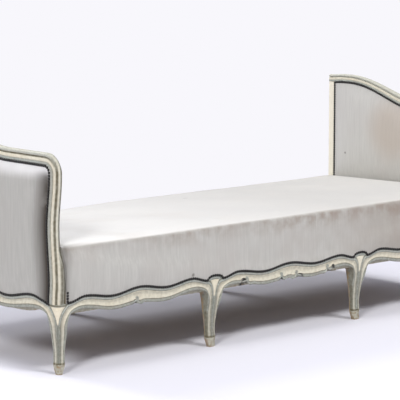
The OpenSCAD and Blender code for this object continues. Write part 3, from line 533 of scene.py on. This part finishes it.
def linear(code):
    """A colour written as six sRGB digits, as the linear values that a shader takes."""
    parts = [int(code[i:i + 2], 16) / 255 for i in (1, 3, 5)]
    return [p / 12.92 if p <= 0.04045 else ((p + 0.055) / 1.055) ** 2.4 for p in parts] + [1]


def put(tree, kind, inputs, **settings):
    """Adds a node with its settings; an input is a value or another node's output."""
    node = tree.nodes.new(kind)
    for key, value in settings.items():
        setattr(node, key, value)
    for key, value in inputs.items():
        if isinstance(value, bpy.types.NodeSocket):
            tree.links.new(value, node.inputs[key])
        else:
            node.inputs[key].default_value = value
    return node


def new_material(name, finish):
    """A new material with its finish set, its nodes, its shader, and places on the piece in metres."""
    material = bpy.data.materials.new(name)
    material.use_nodes = True
    tree = material.node_tree
    shader = tree.nodes["Principled BSDF"]
    for key, value in finish.items():
        shader.inputs[key].default_value = value
    return material, tree, shader, put(tree, "ShaderNodeTexCoord", {}).outputs["Object"]


def ramp(tree, value, low, high, bottom=0, top=1, way="LINEAR"):
    """A value brought from the range low to high into the range bottom to top, and held there."""
    return put(tree, "ShaderNodeMapRange", {"Value": value, "From Min": low, "From Max": high,
                                            "To Min": bottom, "To Max": top},
               interpolation_type=way).outputs["Result"]


def noise(tree, where, scale, detail=4, low=None, high=None, top=1, rough=0.5):
    """A noise pattern; low and high cut it to the part of its range that shows."""
    value = put(tree, "ShaderNodeTexNoise", {"Vector": where, "Scale": scale, "Detail": detail,
                                             "Roughness": rough}).outputs["Fac"]
    return value if low is None else ramp(tree, value, low, high, 0, top)


def stretch(tree, where, scale):
    return put(tree, "ShaderNodeMapping", {"Vector": where, "Scale": scale}).outputs["Vector"]


def work_out(tree, operation, first, second):
    return put(tree, "ShaderNodeMath", {0: first, 1: second}, operation=operation).outputs[0]


def mix(tree, share, first, second):
    first, second = [linear(c) if isinstance(c, str) else c for c in (first, second)]
    return put(tree, "ShaderNodeMix", {0: share, 6: first, 7: second}, data_type="RGBA").outputs[2]


def attribute(tree, name):
    return put(tree, "ShaderNodeAttribute", {}, attribute_name=name).outputs["Fac"]


def finish_shader(tree, shader, colour, height, strength, distance):
    """Gives a shader its colour, and a relief of that height from a pattern."""
    tree.links.new(colour, shader.inputs["Base Color"])
    bump = put(tree, "ShaderNodeBump", {"Height": height, "Strength": strength, "Distance": distance})
    tree.links.new(bump.outputs["Normal"], shader.inputs["Normal"])


def hand_over(piece, material):
    """Gives a piece its material and the body that it rides on."""
    piece.data.materials.append(material)
    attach(piece, "root")


aged_paint, tree, shader, where = new_material("aged_distemper_paint", {})
brush = noise(tree, where, 90, 5)
rubbed = ramp(tree, brush, 0.42, 0.66)
cream_paint = mix(tree, rubbed, "#e2dcc6", "#d6cfb8")
cream_paint = mix(tree, noise(tree, where, 9, 3, 0.5, 0.74, 0.4), cream_paint, "#dcc9a8")
green_paint = mix(tree, rubbed, "#a3a69c", "#91958c")
green_paint = mix(tree, noise(tree, where, 420, 4, 0.56, 0.64), green_paint, "#c3c5b7")
green_paint = mix(tree, noise(tree, where, 14, 3, 0.5, 0.7, 0.35), green_paint, "#a39a8e")
paint = mix(tree, attribute(tree, "cream"), green_paint, cream_paint)
# Painted highlight: a lighter cream on the rear stiles
paint = mix(tree, attribute(tree, "painted_highlight"), paint, "#f6efda")
# Brown wax, and painted shade, where a piece is marked dark
wax_and_shade = work_out(tree, "MULTIPLY", ramp(tree, brush, 0.3, 0.6, 0.72), attribute(tree, "dirt_and_shade"))
paint = mix(tree, wax_and_shade, paint, "#5d553d")
# Painted shadow: near-black in the deep cuts under the curls
paint = mix(tree, attribute(tree, "undercut_shadow"), paint, "#1d1a14")
chip = noise(tree, where, 150, 6, 0.66, 0.69, rough=0.7)
paint = mix(tree, chip, paint, "#8f7d62")
ragged = ramp(tree, work_out(tree, "ADD", attribute(tree, "bare"), brush), 0.95, 1.1)
grain = noise(tree, stretch(tree, where, (260, 260, 22)), 1, 5)
wood = mix(tree, grain, "#75654c", "#a3906f")
wood = mix(tree, noise(tree, where, 30, 4, 0.45, 0.65, 0.7), wood, "#ab9a8e")
paint = mix(tree, ragged, paint, wood)
tree.links.new(ramp(tree, brush, 0, 1, 0.45, 0.65), shader.inputs["Roughness"])
height = work_out(tree, "SUBTRACT", noise(tree, where, 420), chip)
finish_shader(tree, shader, paint, height, 0.25, 0.0006)
for piece in painted:
    hand_over(piece, aged_paint)

# Corner blocks. Triangles of beech are glued and screwed into the four corners of the seat frame. They
# were never painted and have darkened, with the saw's marks still on them.
old_wood, tree, shader, where = new_material("darkened_beech", {"Roughness": 0.72})
grain = noise(tree, stretch(tree, where, (22, 240, 240)), 1, 6)
wood = mix(tree, grain, "#6b5138", "#a5855c")
wood = mix(tree, noise(tree, where, 40, 4, 0.55, 0.7, 0.5), wood, "#57432f")
finish_shader(tree, shader, wood, grain, 0.4, 0.0008)
for slot in bpy.data.objects["corner_blocks"].material_slots:
    slot.material = old_wood

# Seat upholstery. One cover of worn grey silk velvet is drawn over a sprung and stuffed seat, pulled down in
# front and behind, and nailed into the ledge of the rails. It has no welt: its edges are softly rounded.
SEAT_REAR_H, PAD_Z, TUCK = 390, 304.3, 5.7


def front_edge(x):
    """Height of the wood's upper edge along the front, with a dome on each mid leg."""
    x = np.asarray(x, float)
    z = np.full(x.shape, float(HEAD_H))
    for bay in FRONT_BAYS:
        inside = (x > bay[0]) & (x < bay[1])
        z = np.where(inside, edge_at(bay, x), z)
    for leg in MID_X:
        near = np.abs(x - leg) < HALF_W
        z = np.where(near, HEAD_H + dome(x - leg), z)
    return z


def seat_top(x, y):
    """Height of the seat, which sags and ripples a little and is lowest beside the ends."""
    t, u = np.clip(y / BODY_D, 0, 1), 2 * x / BODY_L - 1
    hang = 5 * np.sin(np.pi * t) * (1 - u ** 6)
    ripple = 1.4 * np.sin(x / 61 + 1.3) * np.sin(y / 97 + x / 240) + 1.2 * np.sin(x / 133 + y / 71)
    front = SEAT_H + 3.4 + 0.8 * np.sin(x / 97 + 0.6) + 3.5 * smooth(1250, 1750, x)
    rear = SEAT_REAR_H + np.interp(x, [0, 660, 900, 1340, 1660, 1880], [-0.5, 0, 5.4, 5.2, 3.7, 0.2])
    dip = 8.5 * np.exp(-((t - 0.42) / 0.24) ** 2) * smooth(0.86, 1, np.abs(u))
    return front + t * (rear - front) + hang - dip + ripple * np.sin(np.pi * t)


def seat_ring(x):
    """Points round the cover at x, each with its wear and with 1 where it is nailed."""
    low = float(front_edge(x)) + 0.6
    pull = 1.2 * math.sin(x / 47) + 0.8 * math.sin(x / 19 + 2)
    edge_z, rear_z = float(seat_top(x, 0)), float(seat_top(x, BODY_D))
    radius = 10.5 + 1.2 * math.sin(x / 83 + 0.7) + 0.9 * math.sin(x / 37) + 0.8 * math.sin(x / 211 + 1)
    worn = 0.25 + 0.85 * x / BODY_L + 0.15 * math.sin(x / 91 + 2)
    points = [(TUCK, low, 0, 1), (1.5, low, 0, 1), (0.4, low + 3, 0, 1), (-0.3, low + 8, 0, 0.7)]
    for z in np.linspace(low + 16, edge_z - 14, 14):
        t = (z - low) / (edge_z - low)
        rubbed = worn * (max(0, (t - 0.6) / 0.4) ** 1.3 + 0.25 * x / BODY_L)
        points.append((-1.6 * math.sin(math.pi * t) - 0.2 * pull, z, rubbed, 0))
    for a in np.radians(np.linspace(0, 90, 9)):
        points.append((-0.4 + radius * (1 - math.cos(a)), edge_z - radius + radius * math.sin(a),
                       worn * math.cos(a) ** 2, 0))
    points += [(y, float(seat_top(x, y)), 0, 0) for y in np.linspace(24, BODY_D - 24, 46)]
    rear = BODY_D + 0.4
    for a in np.radians(np.linspace(0, 90, 7)):
        points.append((rear - radius * (1 - math.sin(a)), rear_z - radius + radius * math.cos(a), 0, 0))
    for z in np.linspace(rear_z - 24, HEAD_H + 6, 9):
        points.append((rear - 0.5 * abs(math.sin(z / 30)), z, 0, 0))
    points += [(y, z, 0, 1) for y, z in ((BODY_D - 2, HEAD_H + 0.6), (BODY_D - TUCK, HEAD_H + 0.6),
                                         (BODY_D - TUCK, PAD_Z))]
    points += [(y, PAD_Z, 0, 1) for y in np.linspace(BODY_D - 40, 50, 6)] + [(TUCK, PAD_Z, 0, 1)]
    return [(x, *p) for p in points]


ends = np.array([24.4, 26, 29, 34, 40])
stations = [ends, np.linspace(48, BODY_L - 48, 260), BODY_L - ends]
stations += [leg + HALF_W * np.cos(np.radians(np.arange(0, 181, 12))) for leg in MID_X]
table = np.array([seat_ring(x) for x in np.unique(np.concatenate(stations).round(2))])
run, worn, nailed = table[..., 0], table[..., 3], table[..., 4].copy()
seat_rings = table[..., :3].copy()
clear = (stile_flare(seat_rings[..., 2]) + 0.4) * smooth(60, 44, seat_rings[..., 1])
seat_rings[..., 0] += clear * (smooth(110, 30, run) - smooth(BODY_L - 110, BODY_L - 30, run))
nailed[[0, 1, -2, -1]] = 1
beside = np.minimum(seat_rings[..., 0], BODY_L - seat_rings[..., 0]) - STILE_FOOT
beside = 0.5 * np.exp(-np.clip(beside, 0, None) / 15) * smooth(60, 0, seat_rings[..., 1])
seat = draw_out("velvet_seat", seat_rings, {"wear": worn, "nailed": nailed, "shade": beside,
                                           "tired": 0.85 * smooth(1100, 1700, seat_rings[..., 0])}, angle=60)
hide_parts("seat_pad", "front_border", "rear_border")

# End pads. The same velvet is drawn over a thin stuffing on the inside and on the outside of each end and
# nailed round its edges. Each pad is a shallow cushion, fullest in its middle.


def stile_in(z):
    """Where a stile ends and its cloth begins, at height z."""
    return stile_front(np.asarray(z, float)) + STILE_W


def end_under(y):
    """Height of the underside of the corner and the top rail at y."""
    y = np.asarray(y, float)
    curve = CORNER_Z + np.sqrt(np.clip((CORNER_R - STILE_W) ** 2 - (CORNER_Y - y) ** 2, 0, None))
    return np.where(y < CORNER_Y, curve, end_top(y) - end_width(y))


def swell(s, t):
    """Fullness of a pad, from 0 round its edges to 1 over its middle."""
    a, b = [np.sqrt(np.clip(1 - np.abs(2 * v - 1) ** 4, 0, 1)) for v in (s, t)]
    return a * b


def eased(count):
    """Shares from 0 to 1 that lie closer together at both ends."""
    return (1 - np.cos(np.pi * np.linspace(0, 1, count))) / 2


def pad_y(s, z):
    """The share s of the way from the stile to the rear stile, at height z."""
    return stile_in(z) + 1 + s * (REAR_IN - 2 - stile_in(z))


def pad_rings(outer):
    """Rings of a pad from the stile to the rear stile; each goes up its face and down its back. The fourth
    number is the painted shade beside the stile, the fifth is 1 where the pad is nailed or lies on the frame,
    and the sixth is the painted highlight along its top roll."""
    rings = []
    front_x, back_x = (1.5, 5.7) if outer else (22.5, 8.3)
    spread = eased(44)
    for s in eased(64):
        high = float(end_under(pad_y(s, CORNER_Z))) - 1
        low_y = pad_y(s, HEAD_H)
        inside = END_BAY[0] < low_y < END_BAY[1]
        low = (float(edge_at(END_BAY, low_y)) if inside else HEAD_H) + 0.6 if outer else PAD_Z
        base = low if outer else SEAT_H - 24 * s
        z = base + spread * (high - base)
        t = spread
        rim_s = np.clip(s * 1.024 - 0.012, 0, 1)
        rim_t = np.clip(spread * 1.03 - 0.015, 0, 1)
        roll = 5 * np.exp(-((spread - 0.92) / 0.05) ** 2) * smooth(0, 0.1, rim_s) * smooth(1, 0.9, rim_s)
        if outer:
            x = front_x - swell(rim_s, rim_t) * 9 - roll
        else:
            z = np.concatenate([np.linspace(low, base, 6)[:-1], z])
            t = np.concatenate([np.zeros(5), spread])
            x = np.concatenate([np.full(5, front_x), front_x + swell(rim_s, rim_t) * 10])
        y = pad_y(s, z)
        dark = np.clip(1.12 - np.maximum(y - stile_in(z), 0) / 95, 0, 1) ** 1.5 * smooth(1, 0.9, t)
        fixed = np.where((z < base + 7) | (rim_s <= 0) | (rim_s >= 1) | (t > 0.985), 1, 0.0)
        face = np.stack([x, y, z, dark, fixed], axis=1)
        back = np.stack([np.full(len(z), back_x), y, z, 0 * z, 0 * z + 1], axis=1)[::-1]
        ring = np.concatenate([face, back])
        # Painted highlight along the top roll of the pad
        glow = smooth(0.86, 0.97, np.concatenate([t, t[::-1]]))
        rings.append(np.concatenate([ring, glow[:, None]], axis=1))
    return np.array(rings)


pads = []
for side in SIDES:
    for kind in ("inner", "outer"):
        table = pad_rings(kind == "outer")
        shade, nailed, pale = table[..., 3], table[..., 4], table[..., 5]
        # The shade mark is painted shade beside the stile and also darkens an outer pad a little all over;
        # pale is a painted highlight along an outer pad's top roll and makes an inner pad a little paler all
        # over.
        marks = {"shade": np.maximum(shade, 0.14) if kind == "outer" else 0.12 * shade, "nailed": nailed,
                 "pale": pale if kind == "outer" else 0 * pale + 0.2}
        pad = draw_out("velvet_%s_%s_pad" % (side, kind), sided(table[..., :3], side), marks, angle=60)
        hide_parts("%s_%s_pad" % (side, kind))
        pads.append(pad)

# Stuffing. The covers are blown up a little against the horsehair under them while their nailed edges stay
# put, which gives the slight fullness and the soft dents of old upholstery.
PRESSURE, MOST_MOVE, LAST_FRAME = 3, 0.006, 20


def stuff(piece):
    """Blows a cover up from inside, no point by more than MOST_MOVE in metres."""
    nails = np.zeros(len(piece.data.vertices))
    piece.data.attributes["nailed"].data.foreach_get("value", nails)
    group = piece.vertex_groups.new(name="nailed")
    for weight in (0.7, 1.0):
        chosen = np.flatnonzero(np.isclose(nails, weight))
        if len(chosen):
            group.add(chosen.tolist(), weight, "REPLACE")
    before = np.zeros(len(nails) * 3)
    piece.data.vertices.foreach_get("co", before)
    cloth = piece.modifiers.new("stuffing", "CLOTH")
    cloth.settings.quality = 4
    cloth.settings.vertex_group_mass = "nailed"
    cloth.settings.use_pressure = True
    cloth.settings.uniform_pressure_force = PRESSURE
    cloth.settings.tension_stiffness = 12
    cloth.settings.compression_stiffness = 12
    cloth.settings.bending_stiffness = 0.4
    cloth.settings.effector_weights.gravity = 0
    cloth.collision_settings.use_collision = False
    cloth.point_cache.frame_end = LAST_FRAME
    for number in range(1, LAST_FRAME + 1):
        bpy.context.scene.frame_set(number)
    blown = piece.evaluated_get(bpy.context.evaluated_depsgraph_get())
    after = np.zeros(len(nails) * 3)
    blown.data.vertices.foreach_get("co", after)
    piece.modifiers.remove(cloth)
    move = (after - before).reshape(-1, 3)
    far = np.linalg.norm(move, axis=1, keepdims=True) + 1e-9
    move *= MOST_MOVE * np.tanh(far / MOST_MOVE) / far
    piece.data.vertices.foreach_set("co", (before.reshape(-1, 3) + move).ravel())
    piece.data.update()
    bpy.context.scene.frame_set(1)


for piece in [seat] + pads:
    stuff(piece)

# Velvet. Silk, woven and cut, thin with age. Where it faces up it is painted nearly white as a painted
# highlight, duller towards the right; its front is grey with faint upright streaks, and it is rubbed brownish
# along the edge of the seat, with painted shade beside the stiles.
velvet, tree, shader, where = new_material("worn_silk_velvet", {
    "Roughness": 0.85, "Sheen Weight": 0.6, "Sheen Roughness": 0.35, "Sheen Tint": linear("#f4f3f2")})
streaks = noise(tree, stretch(tree, where, (150, 150, 9)), 1, 5, 0.3, 0.7)
cloth = mix(tree, streaks, "#b3b1a9", "#bfbdb5")
cloth = mix(tree, noise(tree, where, 5, 3, 0.45, 0.75, 0.5), cloth, "#b5afa7")
cloth = mix(tree, attribute(tree, "tired"), cloth, "#a39c92")
# Painted highlight along the top roll of an outer pad; an inner pad is a little paler all over
cloth = mix(tree, attribute(tree, "pale"), cloth, "#eeece8")
# Painted highlight: the cloth is painted nearly white where it faces up, duller towards the right
facing = put(tree, "ShaderNodeTexCoord", {}).outputs["Normal"]
facing_up_highlight = ramp(tree, put(tree, "ShaderNodeSeparateXYZ", {0: facing}).outputs["Z"], 0.55, 0.99)
along_seat = ramp(tree, put(tree, "ShaderNodeSeparateXYZ", {0: where}).outputs["X"], -1, 0.3)
highlit_top_cloth = mix(tree, along_seat, "#f1efe9", "#cbc8c0")
highlit_top_cloth = mix(tree, noise(tree, where, 6, 4, 0.5, 0.75, 0.4), highlit_top_cloth, "#d6d0c6")
cloth = mix(tree, facing_up_highlight, cloth, highlit_top_cloth)
rub = work_out(tree, "MULTIPLY", attribute(tree, "wear"), noise(tree, where, 20, 5, 0.34, 0.62))
cloth = mix(tree, rub, cloth, "#8c7b6b")
shade = work_out(tree, "MULTIPLY", attribute(tree, "shade"), noise(tree, where, 12, 4, -0.1, 0.45))
cloth = mix(tree, shade, cloth, "#2f2518")
# Stains and small holes in the cloth: place in metres, reach, strength
MARKS_ON_CLOTH = [((1.001, 0.053, 0.607), 0.17, 0.4), ((1.003, 0.308, 0.494), 0.007, 0.75),
                  ((0.049, 0.207, 0.41), 0.012, 0.5), ((-0.04, 0.045, 0.41), 0.009, 0.4),
                  ((-0.455, -0.405, 0.262), 0.009, 0.6)]
for place, radius, strength in MARKS_ON_CLOTH:
    gap = put(tree, "ShaderNodeVectorMath", {0: where, 1: place}, operation="DISTANCE").outputs["Value"]
    mark = ramp(tree, gap, radius, radius * 0.3, 0, strength, "SMOOTHSTEP")
    cloth = mix(tree, mark, cloth, "#b39d86" if radius > 0.1 else "#4a443c")
finish_shader(tree, shader, cloth, noise(tree, where, 700, 2), 0.3, 0.0008)
for piece in [seat] + pads:
    hand_over(piece, velvet)

# Nails. Round-headed brass nails, blackened with age, are driven side by side along every edge of the
# cloth. Each head is a low dome 9.4 mm across.
NAIL_R, NAIL_STEP, NAIL_IN, UP = 4.7, 9.4, 4.2, 3.5
QUARTER = math.pi / 2
TURN = {"-y": (QUARTER, 0, 0), "+y": (-QUARTER, 0, 0), "-x": (0, -QUARTER, 0), "+x": (0, QUARTER, 0)}
profile = [(1, -0.3), (1, 0.05), (0.84, 0.32), (0.45, 0.52)]
rings = np.array([[(r * NAIL_R * math.cos(a), r * NAIL_R * math.sin(a), h * NAIL_R)
                   for a in np.radians(np.arange(0, 360, 45))] for r, h in profile])
nail = draw_out("nail_pattern", rings + ORIGIN, {}, angle=60)
blackened, tree, shader, where = new_material("blackened_brass", {"Metallic": 0.3, "Roughness": 0.42})
tarnish = mix(tree, noise(tree, where, 180, 3, 0.4, 0.7), "#0b0a09", "#1d1914")
tree.links.new(tarnish, shader.inputs["Base Color"])


def line(x, y, z):
    """Points from their three coordinates, any of which may be one number for all."""
    return np.stack(np.broadcast_arrays(x, y, z), axis=1)


def join(pieces, name):
    """Joins pieces into the first of them."""
    bpy.ops.object.select_all(action="DESELECT")
    for piece in pieces:
        piece.select_set(True)
    bpy.context.view_layer.objects.active = pieces[0]
    bpy.ops.object.join()
    pieces[0].name = pieces[0].data.name = name
    return pieces[0]


def drive(name, points, facing):
    """A row of nail heads side by side along a line, copies of one pattern joined into one piece."""
    run = np.concatenate([[0], np.cumsum(np.linalg.norm(np.diff(points, axis=0), axis=1))])
    count = max(2, int(round(run[-1] / NAIL_STEP)) + 1)
    places = [np.interp(np.linspace(0, run[-1], count), run, points[:, k]) for k in range(3)]
    row = []
    for place in np.stack(places, axis=1):
        head = bpy.data.objects.new(name, nail.data.copy())
        head.location = (place - ORIGIN) / 1000
        head.rotation_euler = TURN[facing]
        bpy.context.collection.objects.link(head)
        row.append(head)
    nails = join(row, name)
    bpy.ops.object.transform_apply(location=True, rotation=True, scale=True)
    hand_over(nails, blackened)


for number, bay in enumerate(FRONT_BAYS):
    x = np.linspace(bay[0] + (2 if number else -3), bay[1] - (2 if number < 2 else -3), 200)
    drive("nails_front_bay_%d" % number, line(x, -0.6, edge_at(bay, np.clip(x, *bay)) + UP), "-y")
for number, leg in enumerate(MID_X):
    a = np.radians(np.linspace(172, 8, 60))
    row = line(leg + (HALF_W + 1) * np.cos(a), -0.8, HEAD_H + UP + DOME_H * np.sin(a))
    drive("nails_dome_%d" % number, row, "-y")
drive("nails_rear", line([30, BODY_L - 30], BODY_D, HEAD_H + 4), "+y")
for side, out, into in (("left", "-x", "+x"), ("right", "+x", "-x")):
    row = line(44, [-0.6, -0.8], [HEAD_H + 8, HEAD_H + 36])
    drive("nails_%s_cover_edge" % side, sided(row, side), "-y")
    y = np.linspace(stile_in(HEAD_H) + 1, REAR_IN - 2, 300)
    row = line(0.2, y, edge_at(END_BAY, np.clip(y, *END_BAY)) + UP - 5 * smooth(70, 44, y))
    drive("nails_%s_end_rail" % side, sided(row, side), out)
    for kind, facing, face, start, stop in (("outer", out, 0.2, HEAD_H + 9, HEAD_H + 6),
                                            ("inner", into, FRAME_T - 0.2, SEAT_H - 6, SEAT_REAR_H + 6)):
        z = np.linspace(start, CORNER_Z, 80)
        rows = [line(face, stile_in(z) + NAIL_IN, z)]
        a = np.radians(np.linspace(8, 90, 12))
        r = CORNER_R - STILE_W - NAIL_IN
        rows.append(line(face, CORNER_Y - r * np.cos(a), CORNER_Z + r * np.sin(a)))
        y = np.linspace(CORNER_Y + 4, REAR_IN - 4, 200)
        rows.append(line(face, y, end_under(y) - NAIL_IN))
        z = np.linspace(float(end_under(REAR_IN)) - 12, stop, 60)
        rows.append(line(face, REAR_IN - 4, z))
        drive("nails_%s_%s" % (side, kind), sided(np.concatenate(rows), side), facing)
bpy.data.objects.remove(nail)

# Webbing and hessian. Bands of jute are strained over the seat frame both ways, woven over and under each
# other, and a sheet of coarse hessian lies on them under the stuffing. Another backs each end.
jute, tree, shader, where = new_material("jute_webbing", {"Roughness": 0.9})
warp, weft = [put(tree, "ShaderNodeTexWave", {"Vector": where, "Scale": 130, "Distortion": 1.5, "Detail": 2},
                  bands_direction=way).outputs["Fac"] for way in "XY"]
weave = work_out(tree, "MULTIPLY", warp, weft)
cloth = mix(tree, weave, "#6f6149", "#9a8a6c")
cloth = mix(tree, noise(tree, where, 20, 3, 0.5, 0.75, 0.5), cloth, "#655843")
finish_shader(tree, shader, cloth, weave, 0.5, 0.0008)
WEB_W, WEB_T, WEB_STEP = 60, 1.5, 96
half, thick = WEB_W / 2, WEB_T / 2 - 0.1
section = [(-half, -thick), (0, -thick), (half, -thick), (half, thick), (0, thick), (-half, thick)]
cross_x = BODY_L / 2 + np.arange(-9, 10) * WEB_STEP
long_y = BODY_D / 2 + np.arange(-3, 4) * WEB_STEP
for kind, places, others, run, over in (("crosswise", cross_x, long_y, np.linspace(8, BODY_D - 8, 120), 1),
                                        ("lengthwise", long_y, cross_x, np.linspace(8, BODY_L - 8, 300), -1)):
    bands = []
    for i, place in enumerate(places):
        lift = sum(((i + j) % 2 * 2 - 1) * np.exp(-((run - other) / 36) ** 4)
                   for j, other in enumerate(others))
        z = RAIL_TOP + WEB_T + WEB_T / 2 * over * lift
        rings = np.array([[(place + w, y, height + h) for w, h in section] for y, height in zip(run, z)])
        if kind == "lengthwise":
            rings = rings[..., [1, 0, 2]]
        bands.append(draw_out("%s_band_%d" % (kind, i), rings, {}, angle=40))
    bands = join(bands, "woven_%s_webbing" % kind)
    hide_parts("%s_webbing" % kind)
    hand_over(bands, jute)
sheets = []
x = np.linspace(26, BODY_L - 26, 120)
y = np.linspace(CORNER_W, BODY_D - CORNER_W, 12)
top = [[(a, b, RAIL_TOP + 3.9) for b in y] for a in x]
under = [[(a, b, RAIL_TOP + 3.1) for b in y[::-1]] for a in x]
sheet = draw_out("hessian_seat_sheet", np.concatenate([top, under], axis=1), {})
sheets.append((sheet, "seat_hessian", "crosswise_webbing"))
for side in SIDES:
    rings = []
    for y in np.linspace(stile_in(CORNER_Z) + 12, REAR_IN - 3, 40):
        z = np.linspace(RAIL_TOP + 4, float(end_under(y)) - 3, 24)
        front = [(6.3, max(y, float(stile_in(v)) + 2), v) for v in z]
        rings.append(front + [(7.6, p[1], p[2]) for p in front[::-1]])
    sheet = draw_out("hessian_%s_end_sheet" % side, sided(np.array(rings), side), {})
    sheets.append((sheet, "%s_end_hessian" % side, "%s_top_rail" % side))
for sheet, node, carrier in sheets:
    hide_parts(node)
    hand_over(sheet, jute)

# Studio. A plain pale floor runs on into a white background; soft lamps stand in front, to the left, overhead
# and behind, at a level at which a colour renders about as it is written.
bpy.ops.object.select_all(action="DESELECT")
bpy.ops.mesh.primitive_plane_add(size=60)
floor = bpy.context.object
floor.name = "floor"
white = linear("#f8f7fc")
material, tree, shader, where = new_material("studio_floor", {
    "Base Color": linear("#efeef4"), "Roughness": 1, "Specular IOR Level": 0})


def seen(tree):
    """1 for what the camera sees, straight or in something glossy or clear, and 0 for light on the piece."""
    rays = put(tree, "ShaderNodeLightPath", {}).outputs
    direct = work_out(tree, "MAXIMUM", rays["Is Camera Ray"], rays["Is Glossy Ray"])
    return work_out(tree, "MAXIMUM", direct, rays["Is Transmission Ray"])


reach = put(tree, "ShaderNodeVectorMath", {0: where}, operation="LENGTH").outputs["Value"]
far = work_out(tree, "MULTIPLY", ramp(tree, reach, 1.5, 2.6, way="SMOOTHSTEP"), seen(tree))
glow = put(tree, "ShaderNodeEmission", {"Color": white, "Strength": 1}).outputs[0]
both = put(tree, "ShaderNodeMixShader", {0: far, 1: shader.outputs[0], 2: glow}).outputs[0]
tree.links.new(both, tree.nodes["Material Output"].inputs["Surface"])
floor.data.materials.append(material)

world = bpy.data.worlds.new("studio")
bpy.context.scene.world = world
world.use_nodes = True
tree = world.node_tree
lit = put(tree, "ShaderNodeBackground", {"Color": linear("#e9eaf8"), "Strength": 0.47}).outputs[0]
shown = put(tree, "ShaderNodeBackground", {"Color": white, "Strength": 1}).outputs[0]
both = put(tree, "ShaderNodeMixShader", {0: seen(tree), 1: lit, 2: shown}).outputs[0]
tree.links.new(both, tree.nodes["World Output"].inputs["Surface"])

# Direction that each lamp's light travels, its strength on a surface that faces it, and its spread
LAMPS = {"front_lamp": ((-0.03, 0.15, -0.2), 1, 12), "left_lamp": ((0.17, 0.1, -0.14), 1.42, 14),
         "top_lamp": ((0, -0.06, -1), 0.5, 22), "rear_lamp": ((0.01, -0.16, -0.11), 1.3, 24)}
for name, (way, strength, spread) in LAMPS.items():
    lamp = bpy.data.lights.new(name, "SUN")
    lamp.energy = strength
    lamp.angle = math.radians(spread)
    lamp.color = (0.93, 0.95, 1) if name == "rear_lamp" else (1, 1, 1)
    holder = bpy.data.objects.new(name, lamp)
    bpy.context.collection.objects.link(holder)
    back = np.array(way) / -np.linalg.norm(way)
    holder.rotation_euler = (math.acos(back[2]), 0, math.atan2(back[1], back[0]) + math.pi / 2)
